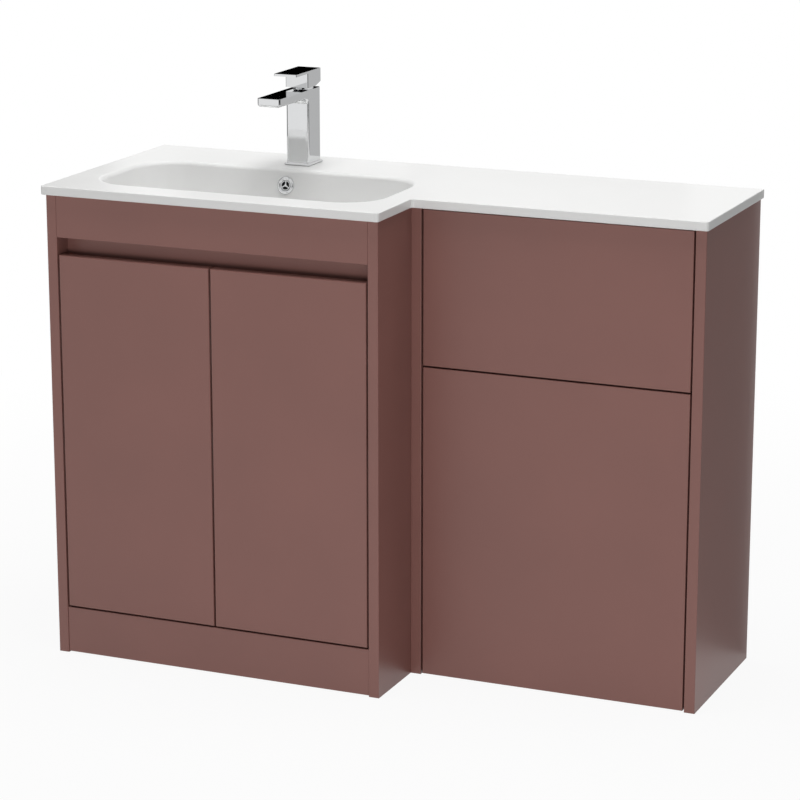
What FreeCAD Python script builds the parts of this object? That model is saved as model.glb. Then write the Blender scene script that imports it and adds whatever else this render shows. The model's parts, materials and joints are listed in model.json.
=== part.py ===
import FreeCAD, Part
import os
import re
import Sketcher

# Driving sizes in millimetres
SIZES = {
    # Boards and carcass
    "vanity_width": 600,
    "wc_width": 500,
    "carcass_height": 800,
    "vanity_depth": 430,
    "wc_depth": 295,
    "board": 18,
    "reveal": 3,
    "edge_round": 1,
    "floor_gap": 2,
    "plinth_height": 82,
    "plinth_setback": 1.5,
    "batten_height": 40,
    "fascia_height": 72,
    "finger_slot": 30,
    "rail_height": 80,
    "base_setback": 24,
    # Handle channel
    "channel_wall": 3,
    "channel_depth": 37,
    "channel_drop": 22,
    "channel_tab": 25,
    "channel_hem": 12,
    "channel_cove": 9,
    # Shelf
    "shelf_height": 400,
    "shelf_setback": 85,
    "shelf_back_gap": 60,
    "shelf_play": 1,
    "shelf_pin_radius": 2.5,
    "shelf_pin_depth": 9,
    "shelf_pin_reach": 10,
    "shelf_spade": 3,
    "shelf_spade_width": 9,
    "shelf_pin_inset": 40,
    "shelf_hole_pitch": 32,
    "hole_play": 0.05,
    # Doors and hinges
    "door_round": 2,
    "hinge_inset": 95,
    "cup_radius": 17.5,
    "cup_tab": 4,
    "cup_depth": 13.4,
    "cup_wall": 0.8,
    "cup_flange": 1,
    "cup_flange_radius": 19.5,
    "ear_offset": 9.5,
    "ear_width": 11,
    "ear_spacing": 48,
    "screw_radius": 2,
    "screw_head_radius": 3.8,
    "screw_head": 1.8,
    "screw_bite": 11,
    "pivot_in": 10,
    "pivot_back": 8.6,
    "pivot_radius": 1.5,
    "lug_thick": 3,
    "lug_play": 0.5,
    "pivot_play": 0.06,
    "arm_width": 12,
    "arm_sheet": 2.5,
    "arm_eye": 2.7,
    "arm_reach": 14,
    "arm_bridge": 23.7,
    "arm_bar": 8,
    "arm_end": 82,
    "plate_thick": 3.5,
    "plate_front": 50,
    "plate_width": 20,
    "plate_height": 52,
    "plate_corner": 5,
    "plate_screw_spacing": 32,
    "bumper_radius": 4,
    "bumper_offset": 45,
    "bumper_gap": 0.3,
    # WC unit fronts
    "wc_split": 535,
    "wc_panel_setback": 1,
    "wc_panel_gap": 0.3,
    "wc_batten_width": 34,
    "clip_radius": 8,
    "clip_socket": 13,
    "clip_bore": 4.6,
    "clip_bore_depth": 10.5,
    "clip_stud_radius": 4,
    "clip_stud_length": 9,
    "clip_stud_round": 1.3,
    "clip_plate": 2,
    "clip_inset": 45,
    # Joining bolts and wall brackets
    "connector_inset": 75,
    "connector_low": 150,
    "connector_high": 650,
    "sleeve_radius": 4,
    "sleeve_bore": 3,
    "sleeve_length": 30,
    "connector_head_radius": 7.5,
    "connector_head": 2,
    "bracket_sheet": 2.5,
    "bracket_leg": 40,
    "bracket_height": 40,
    "bracket_drop": 140,
    "bracket_slot": 4,
    "bracket_slot_out": 24,
    "bracket_screw_back": 26,
    "bracket_screw_spacing": 20,
    # Basin top
    "top_thickness": 15,
    "top_side_overhang": 5,
    "top_front_overhang": 10,
    "top_corner": 5,
    "top_arris": 1.5,
    "bowl_left_margin": 54,
    "bowl_right_margin": 44,
    "bowl_front_margin": 62,
    "bowl_back_margin": 138,
    "bowl_corner": 70,
    "bowl_depth": 105,
    "bowl_slope": 30,
    "bowl_wall": 10,
    "bowl_floor_round": 30,
    "bowl_lip": 8,
    "shell_round": 18,
    # Overflow
    "overflow_drop": 27,
    "overflow_bore": 12.5,
    "overflow_ring_radius": 15.5,
    "overflow_ring_height": 4,
    "overflow_ring_round": 3.4,
    "overflow_throat": 8.5,
    "overflow_spigot": 8,
    "insert_thick": 3,
    "insert_rim": 1.2,
    "insert_hub": 2,
    "insert_arm": 1.8,
    "elbow_radius": 13,
    "elbow_length": 22,
    "elbow_flange_radius": 14,
    "elbow_flange": 2.5,
    "elbow_bore": 10,
    "elbow_tail_radius": 8,
    "elbow_tail_bore": 6,
    "elbow_tail_length": 34,
    # Waste
    "waste_back": 10,
    "waste_flange_radius": 32,
    "waste_flange": 2.5,
    "waste_flange_round": 0.8,
    "waste_tail_radius": 20.95,
    "waste_tail_length": 75,
    "waste_bore": 17,
    "waste_hole": 22.5,
    "waste_relief": 2,
    "waste_relief_depth": 0.8,
    "waste_seal_radius": 30,
    "waste_seal_thickness": 4,
    "nut_radius": 28,
    "nut_height": 9,
    "nut_wing": 35,
    "nut_wing_width": 10,
    "spider_depth": 32,
    "spider_height": 8,
    "spider_arm": 4,
    "spider_hub": 7,
    "spider_root": 1,
    "plug_radius": 31,
    "plug_cap": 3.5,
    "plug_round": 2.1,
    "plug_gap": 0.4,
    "plug_stem": 4,
    "plug_stem_length": 56,
    "stem_play": 0.08,
    # Tap
    "tap_wall_distance": 72.8,
    "tap_width": 42,
    "tap_column": 52,
    "tap_height": 130.5,
    "tap_flange_width": 47,
    "tap_flange_depth": 57,
    "tap_flange": 3.4,
    "tap_flange_bevel": 1.8,
    "tap_seal_thickness": 0.8,
    "tap_seal_inset": 1,
    "tap_round": 5,
    "tap_edge": 0.4,
    "spout_reach": 113,
    "spout_thickness": 14.5,
    "spout_root": 9,
    "aerator_inset": 18,
    "aerator_radius": 10.5,
    "aerator_recess": 4,
    "aerator_height": 4.4,
    "aerator_mouth": 7.8,
    "aerator_mouth_depth": 2.7,
    "cartridge_bore": 18.8,
    "cartridge_depth": 40,
    "cartridge_play": 0.2,
    "pivot_drop": 4,
    "dome_radius": 18.2,
    "dome_skirt": 4,
    "dome_gap": 0.5,
    "rotor_shaft": 8,
    "rotor_shaft_length": 22,
    "rotor_play": 0.06,
    "rotor_end_play": 1,
    "lever_gap": 4,
    "lever_block": 24.5,
    "lever_plate": 4,
    "lever_reach": 46,
    "lever_back_rise": 5.8,
    "lever_bevel_start": 6,
    "lever_round": 2,
    "lever_tip_round": 1.5,
    "stem_width": 8,
    "stem_foot": 5,
    "stem_socket": 18,
    "slot_play": 0.4,
    "slot_front": 5.5,
    "slot_back": 11.5,
    "slot_floor": 8,
    "cross_pin_radius": 1.5,
    "cross_pin_length": 28,
    "grub_radius": 2.5,
    "grub_length": 12,
    "grub_height": 14,
    "tap_hole_radius": 17.5,
    "inlet_radius": 5,
    "inlet_depth": 14,
    "inlet_side": 8.2,
    "inlet_front": 5.5,
    "inlet_boss": 6.8,
    "inlet_reach": 1,
    "stud_back": 9,
    "stud_radius": 4,
    "stud_length": 62,
    "washer_radius": 24,
    "washer_rubber": 4,
    "washer_steel": 2,
    "washer_slot": 16.2,
    "washer_slot_back": 3,
    "fixing_nut_radius": 7.5,
    "fixing_nut_height": 6.5,
}

# Places worked out from the sizes, front is -Y and the wall is at +Y
PLACES = {
    "wall_y": "(vanity_depth + top_front_overhang) / 2",
    "front_y": "wall_y - vanity_depth",
    "wc_front_y": "wall_y - wc_depth",
    "left_x": "-(vanity_width + wc_width) / 2",
    "join_x": "left_x + vanity_width",
    "right_x": "join_x + wc_width",
    "inner_left": "left_x + board",
    "inner_right": "join_x - board",
    "vanity_inner": "vanity_width - 2 * board",
    "vanity_middle": "left_x + vanity_width / 2",
    "wc_inner_left": "join_x + board",
    "wc_inner_right": "right_x - board",
    "wc_inner": "wc_width - 2 * board",
    "wc_middle": "join_x + wc_width / 2",
    "top_z": "carcass_height + top_thickness",
    "door_bottom": "plinth_height + reveal",
    "door_top": "carcass_height - fascia_height - finger_slot",
    "door_height": "door_top - door_bottom",
    "door_width": "(vanity_inner - 3 * reveal) / 2",
    "fascia_bottom": "carcass_height - fascia_height",
    "channel_low": "door_top - channel_drop",
    "hinge_low": "door_bottom + hinge_inset",
    "hinge_pitch": "door_height - 2 * hinge_inset",
    "cup_x": "inner_left + reveal + cup_tab + cup_radius",
    "door_back": "front_y + board",
    "pivot_x": "inner_left + reveal + pivot_in",
    "pivot_y": "front_y + pivot_back",
    "lug_near": "arm_width / 2 + lug_play",
    "lug_far": "lug_near + lug_thick",
    "shelf_front": "front_y + shelf_setback",
    "shelf_depth": "vanity_depth - shelf_setback - board - shelf_back_gap",
    "shelf_pin_pitch": "shelf_depth - 2 * shelf_pin_inset",
    "wc_panel_back": "wc_front_y + wc_panel_setback + board",
    "wc_batten_front": "wc_panel_back + wc_panel_gap",
    "wc_panel_width": "wc_inner - 2 * reveal",
    "wc_lower_top": "wc_split - reveal / 2",
    "wc_upper_bottom": "wc_split + reveal / 2",
    "wc_upper_height": "carcass_height - reveal - wc_upper_bottom",
    "clip_pitch_x": "wc_inner - wc_batten_width",
    "clip_pitch_z": "wc_upper_height - 2 * clip_inset",
    "connector_front_y": "wc_front_y + connector_inset",
    "connector_pitch_y": "wc_depth - 2 * connector_inset",
    "connector_pitch_z": "connector_high - connector_low",
    "bracket_low": "carcass_height - bracket_drop - bracket_height / 2",
    "bowl_length": "vanity_width + 2 * top_side_overhang - bowl_left_margin - bowl_right_margin",
    "bowl_width": "vanity_depth + top_front_overhang - bowl_front_margin - bowl_back_margin",
    "basin_x": "left_x - top_side_overhang + bowl_left_margin + bowl_length / 2",
    "bowl_y": "front_y - top_front_overhang + bowl_front_margin + bowl_width / 2",
    "bowl_floor": "top_z - bowl_depth",
    "bowl_taper": "bowl_slope / bowl_depth",
    "waste_y": "bowl_y + waste_back",
    "overflow_y": "bowl_y + bowl_width / 2 - bowl_taper * overflow_drop",
    "overflow_z": "top_z - overflow_drop",
    "wall_normal": "bowl_wall / sqrt(1 + bowl_taper * bowl_taper)",
    "tap_y": "wall_y - tap_wall_distance",
    "spout_tip": "tap_column / 2 + spout_reach",
    "column_foot": "tap_seal_thickness + tap_flange",
    "lever_pivot_z": "tap_height - pivot_drop",
    "lever_bottom": "tap_height + lever_gap",
    "lever_top": "lever_bottom + lever_block + lever_plate",
    "stem_top": "lever_bottom + stem_socket",
    "washer_top": "-top_thickness",
    "steel_top": "washer_top - washer_rubber",
    "nut_top": "steel_top - washer_steel",
    "inlet_end": "nut_top - inlet_reach",
}

AXIS_PLANE = {"x": "YZ_Plane", "y": "XZ_Plane", "z": "XY_Plane"}
PAD_SIGN = {"x": 1, "y": -1, "z": 1}

doc = FreeCAD.newDocument("vanity_unit")
# Pieces that only serve to make another piece
GATHERED = {"basin_casting", "overflow_drill"}


def bound(text, home=""):
    """Puts the sheet's name before each named value in an expression."""
    def qualify(match):
        word = match.group(0)
        for sheet, names in (("Sizes", SIZES), ("Places", PLACES)):
            if word in names:
                return word if sheet == home else f"{sheet}.{word}"
        return word
    return re.sub(r"[a-z_]\w*", qualify, text)


def make_sheet(name, cells, texts):
    """Fills a sheet with one named cell per row."""
    sheet = doc.addObject("Spreadsheet::Sheet", name)
    for row, (alias, text) in enumerate(zip(cells, texts), start=1):
        sheet.set(f"A{row}", alias.replace("_", " "))
        sheet.set(f"B{row}", text)
        sheet.setAlias(f"B{row}", alias)
    doc.recompute()
    return sheet


sizes_sheet = make_sheet("Sizes", SIZES, [str(number) for number in SIZES.values()])
places_sheet = make_sheet("Places", PLACES, ["=" + bound(text, "Places") for text in PLACES.values()])


def value(text):
    """Works out an expression's present number."""
    return float(sizes_sheet.evalExpression(bound(text)))


def minus(text):
    """Turns an expression's sign."""
    return "0" if text == "0" else f"-({text})"


# Building steps shared by the pieces

def place(item, x, y, z):
    """Binds a piece's position to expressions."""
    for axis, text in zip("xyz", (x, y, z)):
        item.setExpression(f".Placement.Base.{axis}", bound(text))


def new_body(label, x="0", y="0", z="0"):
    """Starts a body whose own frame stands at x, y, z."""
    body = doc.addObject("PartDesign::Body", label)
    place(body, x, y, z)
    return body


def origin(body, role):
    """Finds one of the body's own planes or axes."""
    return next(item for item in body.Origin.OriginFeatures if item.Role == role)


def sketch_at(body, axis, start="0"):
    """Starts a sketch square to an axis at a distance from the body's origin."""
    sketch = body.newObject("Sketcher::SketchObject", f"{body.Name}_outline")
    sketch.AttachmentSupport = (origin(body, AXIS_PLANE[axis]), [""])
    sketch.MapMode = "FlatFace"
    offset = start if PAD_SIGN[axis] > 0 else minus(start)
    sketch.setExpression(".AttachmentOffset.Base.z", bound(offset))
    return sketch


def bind(sketch, constraint, text):
    """Adds a sized constraint and binds it to an expression."""
    index = sketch.addConstraint(constraint)
    sketch.setExpression(f"Constraints[{index}]", bound(text))


def pin_point(sketch, geometry, point, spot):
    """Fixes a point of the sketch at the two expressions in spot."""
    for kind, axis, text in (("DistanceX", -2, spot[0]), ("DistanceY", -1, spot[1])):
        if text == "0":
            sketch.addConstraint(Sketcher.Constraint("PointOnObject", geometry, point, axis))
        else:
            bind(sketch, Sketcher.Constraint(kind, -1, 1, geometry, point, value(text)), text)


def vector(spot):
    """Gives the present place of a sketch point."""
    return FreeCAD.Vector(value(spot[0]), value(spot[1]), 0)


def polygon(sketch, corners):
    """Draws a closed outline through the corners."""
    first = sketch.GeometryCount
    points = [vector(corner) for corner in corners]
    for start, end in zip(points, points[1:] + points[:1]):
        sketch.addGeometry(Part.LineSegment(start, end), False)
    for index, corner in enumerate(corners):
        following = first + (index + 1) % len(corners)
        sketch.addConstraint(Sketcher.Constraint("Coincident", first + index, 2, following, 1))
        pin_point(sketch, first + index, 1, corner)
    return sketch


def rectangle(sketch, u0, v0, u1, v1):
    """Draws an upright rectangle between two corners."""
    return polygon(sketch, [(u0, v0), (u1, v0), (u1, v1), (u0, v1)])


def circle(sketch, centre, radius):
    """Draws one circle."""
    shape = Part.Circle(vector(centre), FreeCAD.Vector(0, 0, 1), value(radius))
    index = sketch.addGeometry(shape, False)
    pin_point(sketch, index, 3, centre)
    bind(sketch, Sketcher.Constraint("Radius", index, value(radius)), radius)
    return sketch


def rounded_rectangle(sketch, centre, length, width, radius):
    """Draws a rectangle with round corners about a centre."""
    mid, half_u, half_v, turn = vector(centre), value(length) / 2, value(width) / 2, value(radius)
    normal = FreeCAD.Vector(0, 0, 1)
    quarter = 1.5707963267948966
    inner_u, inner_v = half_u - turn, half_v - turn
    sides = [((-inner_u, -half_v), (inner_u, -half_v)), ((half_u, -inner_v), (half_u, inner_v)),
             ((inner_u, half_v), (-inner_u, half_v)), ((-half_u, inner_v), (-half_u, -inner_v))]
    corners = [((inner_u, -inner_v), -quarter), ((inner_u, inner_v), 0.0),
               ((-inner_u, inner_v), quarter), ((-inner_u, -inner_v), 2 * quarter)]
    for (start, end), (corner, angle) in zip(sides, corners):
        ends = [mid + FreeCAD.Vector(*spot, 0) for spot in (start, end)]
        sketch.addGeometry(Part.LineSegment(*ends), False)
        ring = Part.Circle(mid + FreeCAD.Vector(*corner, 0), normal, turn)
        sketch.addGeometry(Part.ArcOfCircle(ring, angle, angle + quarter), False)
    for side in range(4):
        line, arc, following = 2 * side, 2 * side + 1, (2 * side + 2) % 8
        sketch.addConstraint(Sketcher.Constraint("Tangent", line, 2, arc, 1))
        sketch.addConstraint(Sketcher.Constraint("Tangent", arc, 2, following, 1))
        sketch.addConstraint(Sketcher.Constraint("Vertical" if side % 2 else "Horizontal", line))
        if side:
            sketch.addConstraint(Sketcher.Constraint("Equal", 1, arc))
    bind(sketch, Sketcher.Constraint("Radius", 1, turn), radius)
    low_v = f"{centre[1]} - ({width}) / 2"
    high_v = f"{centre[1]} + ({width}) / 2"
    low_u = f"{centre[0]} - ({length}) / 2"
    high_u = f"{centre[0]} + ({length}) / 2"
    bind(sketch, Sketcher.Constraint("DistanceY", -1, 1, 0, 1, value(low_v)), low_v)
    bind(sketch, Sketcher.Constraint("DistanceX", -1, 1, 2, 1, value(high_u)), high_u)
    bind(sketch, Sketcher.Constraint("DistanceY", -1, 1, 4, 1, value(high_v)), high_v)
    bind(sketch, Sketcher.Constraint("DistanceX", -1, 1, 6, 1, value(low_u)), low_u)
    return sketch


def pad(sketch, axis, length):
    """Raises a sketch towards the axis' plus end."""
    body = sketch.getParentGeoFeatureGroup()
    feature = body.newObject("PartDesign::Pad", f"{body.Name}_pad")
    feature.Profile = sketch
    feature.setExpression("Length", bound(length))
    feature.Reversed = PAD_SIGN[axis] < 0
    return feature


def pocket(sketch, direction, depth=None):
    """Cuts a sketch into the body towards +x, -x, +y and so on."""
    body = sketch.getParentGeoFeatureGroup()
    feature = body.newObject("PartDesign::Pocket", f"{body.Name}_pocket")
    feature.Profile = sketch
    sign = 1 if direction[0] == "+" else -1
    feature.Reversed = sign == PAD_SIGN[direction[1]]
    if depth is None:
        feature.Type = 1
    else:
        feature.setExpression("Length", bound(depth))
    return feature


def box(body, low, high):
    """Adds a block between two corners."""
    (x0, y0, z0), (x1, y1, z1) = low, high
    sketch = rectangle(sketch_at(body, "z", z0), x0, y0, x1, y1)
    return pad(sketch, "z", f"({z1}) - ({z0})")


def rod(body, axis, start, end, radius, centre=("0", "0")):
    """Adds a round bar along an axis."""
    sketch = circle(sketch_at(body, axis, start), centre, radius)
    return pad(sketch, axis, f"({end}) - ({start})")


def drill(body, direction, start, depth, radius, centres=(("0", "0"),)):
    """Cuts round holes from a plane in one direction."""
    sketch = sketch_at(body, direction[1], start)
    for centre in centres:
        circle(sketch, centre, radius)
    return pocket(sketch, direction, depth)


def soften(body, radius, test, kind="Fillet"):
    """Rounds or bevels the edges of the body that pass a test."""
    doc.recompute()
    base = body.Tip
    names = [f"Edge{number}" for number, edge in enumerate(base.Shape.Edges, start=1) if test(edge)]
    feature = body.newObject(f"PartDesign::{kind}", f"{body.Name}_{kind.lower()}")
    feature.Base = (base, names)
    feature.setExpression("Radius" if kind == "Fillet" else "Size", bound(radius))
    return feature


def all_at(axis, text):
    """Makes a test for edges lying wholly at one height of an axis."""
    height = value(text)
    return lambda edge: (abs(getattr(edge.BoundBox, f"{axis}Min") - height) < 0.001
                         and abs(getattr(edge.BoundBox, f"{axis}Max") - height) < 0.001)


def upright_at(x, y):
    """Makes a test for edges that run along Z at one place."""
    return lambda edge: (edge.BoundBox.ZLength > 1 and edge.BoundBox.XLength < 0.001
                         and edge.BoundBox.YLength < 0.001
                         and abs(edge.BoundBox.XMin - value(x)) < 0.001
                         and abs(edge.BoundBox.YMin - value(y)) < 0.001)


def turned(body, outline, cut=False):
    """Turns an outline in X and Z once round the body's Z axis."""
    kind = "Groove" if cut else "Revolution"
    feature = body.newObject(f"PartDesign::{kind}", f"{body.Name}_turned")
    feature.Profile = outline
    feature.ReferenceAxis = (origin(body, "Z_Axis"), [""])
    feature.Angle = 360
    return feature


def repeat(body, axis, length, count, axis_b=None, length_b=None, count_b=None):
    """Repeats the whole body in a row or in rows and columns."""
    feature = body.newObject("PartDesign::LinearPattern", f"{body.Name}_row")
    feature.TransformMode = "Whole shape"
    feature.Direction = (origin(body, f"{axis.upper()}_Axis"), [""])
    feature.setExpression("Length", bound(length))
    feature.Occurrences = count
    if axis_b:
        feature.Direction2 = (origin(body, f"{axis_b.upper()}_Axis"), [""])
        feature.setExpression("Length2", bound(length_b))
        feature.Occurrences2 = count_b
    body.Tip = feature
    return feature


def mirrored(label, source, middle):
    """Makes the other-handed copy of a piece about an upright plane."""
    copy = doc.addObject("Part::Mirroring", label)
    copy.Source = source
    copy.Normal = (1, 0, 0)
    copy.setExpression(".Base.x", bound(middle))
    return copy


def group(label, items):
    """Gathers like solids in one piece."""
    gathered = doc.addObject("Part::Compound", label)
    gathered.Links = items
    GATHERED.update(item.Label for item in items)
    return gathered


def both_hands(piece, middle):
    """Gathers a left-hand piece and its mirror image in one piece."""
    other = mirrored(piece.Label.replace("left_", "right_"), piece, middle)
    return group(piece.Label.replace("left_", ""), [piece, other])


def plain_board(label, corner, size, rounded=True):
    """Makes a board from its low corner and its three sizes."""
    body = new_body(label, *corner)
    box(body, ("0", "0", "0"), size)
    if rounded:
        soften(body, "edge_round", all_at("Y", "0"))
    return body


# Vanity cabinet

def hole_rows(body, face, direction):
    """Drills the two rows of shelf pin holes in a side."""
    low = "shelf_height - shelf_pin_radius"
    rows = [f"{low} + {step} * shelf_hole_pitch" for step in (-2, -1, 0, 1, 2)]
    front = "shelf_setback + shelf_pin_inset"
    columns = [front, f"{front} + shelf_pin_pitch"]
    centres = [(column, row) for column in columns for row in rows]
    drill(body, direction, face, "shelf_pin_depth", "shelf_pin_radius + hole_play", centres)


def connector_holes(body, front):
    """Drills the joining bolts' holes through a side."""
    near = f"connector_front_y - {front}"
    columns = [near, f"{near} + connector_pitch_y"]
    centres = [(column, row) for column in columns for row in ("connector_low", "connector_high")]
    drill(body, "-x", "board", None, "sleeve_radius + hole_play", centres)


def build_vanity_carcass():
    """Builds the fixed boards of the vanity cabinet."""
    side = ("board", "vanity_depth", "carcass_height")
    left = plain_board("vanity_left_side", ("left_x", "front_y", "0"), side)
    hole_rows(left, "board", "-x")
    right = plain_board("vanity_right_side", ("inner_right", "front_y", "0"), side)
    hole_rows(right, "0", "+x")
    connector_holes(right, "front_y")
    plain_board("vanity_base_panel", ("inner_left", "front_y + base_setback", "plinth_height"),
                ("vanity_inner", "vanity_depth - base_setback - board", "board"), rounded=False)
    plain_board("vanity_plinth", ("inner_left", "front_y + plinth_setback", "floor_gap"),
                ("vanity_inner", "board", "plinth_height - floor_gap"))
    plain_board("plinth_batten",
                ("inner_left", "front_y + plinth_setback + board", "plinth_height - batten_height"),
                ("vanity_inner", "board", "batten_height"), rounded=False)
    plain_board("vanity_fascia", ("inner_left", "front_y", "fascia_bottom"),
                ("vanity_inner", "board", "fascia_height"))
    rail = ("vanity_inner", "board", "rail_height")
    plain_board("vanity_top_rail", ("inner_left", "wall_y - board", "carcass_height - rail_height"), rail,
                rounded=False)
    plain_board("vanity_lower_rail", ("inner_left", "wall_y - board", "plinth_height"), rail,
                rounded=False)
    plain_board("vanity_shelf", ("inner_left + shelf_play", "shelf_front", "shelf_height"),
                ("vanity_inner - 2 * shelf_play", "shelf_depth", "board"))


def build_handle_channel():
    """Builds the coved finger channel between the fascia and the doors."""
    body = new_body("handle_channel", "inner_left", "front_y", "0")
    back = "channel_depth"
    outer = "channel_depth + channel_wall"
    lip = "channel_low + channel_wall"
    corners = [
        ("board", "fascia_bottom + channel_tab"),
        ("board + channel_wall", "fascia_bottom + channel_tab"),
        ("board + channel_wall", "fascia_bottom + channel_wall"),
        (outer, "fascia_bottom + channel_wall"),
        (outer, "channel_low"),
        ("base_setback + channel_wall", "channel_low"),
        ("base_setback + channel_wall", f"{lip} - channel_hem"),
        ("base_setback", f"{lip} - channel_hem"),
        ("base_setback", lip),
        (back, lip),
        (back, "fascia_bottom"),
        ("board", "fascia_bottom"),
    ]
    pad(polygon(sketch_at(body, "x"), corners), "x", "vanity_inner")

    def long_edge_at(depth, height):
        return lambda edge: (edge.BoundBox.XLength > 1
                             and abs(edge.BoundBox.YMin - value(depth)) < 0.001
                             and abs(edge.BoundBox.ZMin - value(height)) < 0.001)
    inner = [long_edge_at(back, lip), long_edge_at(back, "fascia_bottom")]
    soften(body, "channel_cove", lambda edge: any(test(edge) for test in inner))
    outside = [long_edge_at(outer, "channel_low"), long_edge_at(outer, "fascia_bottom + channel_wall")]
    soften(body, "channel_cove + channel_wall", lambda edge: any(test(edge) for test in outside))


def build_shelf_pins():
    """Builds the four spade pins under the shelf."""
    body = new_body("left_shelf_pins", "inner_left", "shelf_front + shelf_pin_inset",
                    "shelf_height - shelf_pin_radius")
    rod(body, "x", "-shelf_pin_depth", "shelf_pin_reach", "shelf_pin_radius")
    box(body, ("0", "-shelf_spade_width / 2", "shelf_pin_radius - shelf_spade"),
        ("shelf_pin_reach", "shelf_spade_width / 2", "shelf_pin_radius"))
    repeat(body, "y", "shelf_pin_pitch", 2)
    both_hands(body, "vanity_middle")


# Doors and concealed hinges

def build_door():
    """Builds the left door with its hinge cup bores."""
    body = new_body("left_door", "inner_left + reveal", "front_y", "door_bottom")
    box(body, ("0", "0", "0"), ("door_width", "board", "door_height"))
    soften(body, "door_round", all_at("Y", "0"))
    bores = [("cup_tab + cup_radius", "hinge_inset"), ("cup_tab + cup_radius", "hinge_inset + hinge_pitch")]
    drill(body, "-y", "board", "cup_depth", "cup_radius + hole_play", bores)
    return body


def build_hinge_cups():
    """Builds the stamped hinge cups let into the door."""
    body = new_body("left_hinge_cups", "cup_x", "door_back", "hinge_low")
    rod(body, "y", "-cup_depth", "0", "cup_radius")
    flange = sketch_at(body, "y", "0")
    circle(flange, ("0", "0"), "cup_flange_radius")
    pad(flange, "y", "cup_flange")
    reach = "ear_spacing / 2 + ear_width / 2"
    ears = rectangle(sketch_at(body, "y", "0"), "ear_offset - ear_width / 2", minus(reach),
                     "ear_offset + ear_width / 2", reach)
    pad(ears, "y", "cup_flange")
    drill(body, "-y", "cup_flange", "cup_flange + cup_depth - cup_wall", "cup_radius - cup_wall")
    ear_holes = [("ear_offset", "ear_spacing / 2"), ("ear_offset", "-ear_spacing / 2")]
    drill(body, "-y", "cup_flange", "cup_flange", "screw_radius + hole_play", ear_holes)
    pivot = ("pivot_x - cup_x", "pivot_back - board")
    for low, high in (("lug_near", "lug_far"), ("-lug_far", "-lug_near")):
        box(body, (f"{pivot[0]} - arm_eye", "-cup_depth", low),
            (f"{pivot[0]} + arm_eye", f"{pivot[1]} + arm_eye", high))
    drill(body, "-z", "lug_far", "2 * lug_far", "pivot_radius + hole_play", [pivot])
    repeat(body, "z", "hinge_pitch", 2)
    return body


def build_pivot_pins():
    """Builds the pins across the cups that the arms turn on."""
    body = new_body("left_hinge_pins", "pivot_x", "pivot_y", "hinge_low")
    rod(body, "z", "-lug_far", "lug_far", "pivot_radius")
    repeat(body, "z", "hinge_pitch", 2)
    return body


def build_cup_screws():
    """Builds the screws that hold the cups to the door."""
    body = new_body("left_cup_screws", "cup_x + ear_offset", "door_back + cup_flange",
                    "hinge_low - ear_spacing / 2")
    rod(body, "y", "-screw_bite", "0", "screw_radius")
    rod(body, "y", "0", "screw_head", "screw_head_radius")
    repeat(body, "z", "ear_spacing", 2, "z", "hinge_pitch", 2)
    return body


def build_hinge_arms():
    """Builds the gooseneck arms from the side panel into the cups."""
    body = new_body("left_hinge_arms", "inner_left", "front_y", "hinge_low")
    pivot = "reveal + pivot_in"
    neck = "arm_sheet / 2"
    far = f"{pivot} + arm_reach"
    corners = [
        (pivot, f"pivot_back - {neck}"),
        (f"{far} + {neck}", f"pivot_back - {neck}"),
        (f"{far} + {neck}", "arm_bridge + arm_sheet"),
        ("plate_thick + arm_bar", "arm_bridge + arm_sheet"),
        ("plate_thick + arm_bar", "arm_end"),
        ("plate_thick", "arm_end"),
        ("plate_thick", "arm_bridge"),
        (f"{far} - {neck}", "arm_bridge"),
        (f"{far} - {neck}", f"pivot_back + {neck}"),
        (pivot, f"pivot_back + {neck}"),
    ]
    pad(polygon(sketch_at(body, "z", "-arm_width / 2"), corners), "z", "arm_width")
    rod(body, "z", "-arm_width / 2", "arm_width / 2", "arm_eye", (pivot, "pivot_back"))
    drill(body, "-z", "arm_width / 2", None, "pivot_radius + pivot_play", [(pivot, "pivot_back")])
    bends = [upright_at(f"{far} - {neck}", f"pivot_back + {neck}"),
             upright_at(f"{far} - {neck}", "arm_bridge")]
    soften(body, "arm_sheet / 2", lambda edge: any(test(edge) for test in bends))
    outer = [upright_at(f"{far} + {neck}", f"pivot_back - {neck}"),
             upright_at(f"{far} + {neck}", "arm_bridge + arm_sheet")]
    soften(body, "arm_sheet", lambda edge: any(test(edge) for test in outer))
    drill(body, "-x", "plate_thick + arm_bar", None, "screw_radius + hole_play",
          [("plate_front + plate_width / 2", "0")])
    repeat(body, "z", "hinge_pitch", 2)
    return body


def build_hinge_plates():
    """Builds the wing plates that carry the arms on the side panel."""
    body = new_body("left_hinge_plates", "inner_left", "front_y + plate_front", "hinge_low")
    box(body, ("0", "0", "-plate_height / 2"), ("plate_thick", "plate_width", "plate_height / 2"))
    corner_edges = [(y, z) for y in ("0", "plate_width") for z in ("-plate_height / 2", "plate_height / 2")]
    soften(body, "plate_corner", lambda edge: edge.BoundBox.XLength > 1 and any(
        abs(edge.BoundBox.YMin - value(y)) < 0.001 and abs(edge.BoundBox.ZMin - value(z)) < 0.001
        for y, z in corner_edges))
    half = "plate_screw_spacing / 2"
    centres = [("plate_width / 2", spot) for spot in (minus(half), "0", half)]
    drill(body, "-x", "plate_thick", None, "screw_radius + hole_play", centres)
    repeat(body, "z", "hinge_pitch", 2)
    return body


def build_plate_screws():
    """Builds the screws through the plates into the side panel."""
    body = new_body("left_plate_screws", "inner_left + plate_thick",
                    "front_y + plate_front + plate_width / 2", "hinge_low - plate_screw_spacing / 2")
    rod(body, "x", "-(plate_thick + screw_bite)", "0", "screw_radius")
    rod(body, "x", "0", "screw_head", "screw_head_radius")
    repeat(body, "z", "plate_screw_spacing", 2, "z", "hinge_pitch", 2)
    return body


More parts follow.
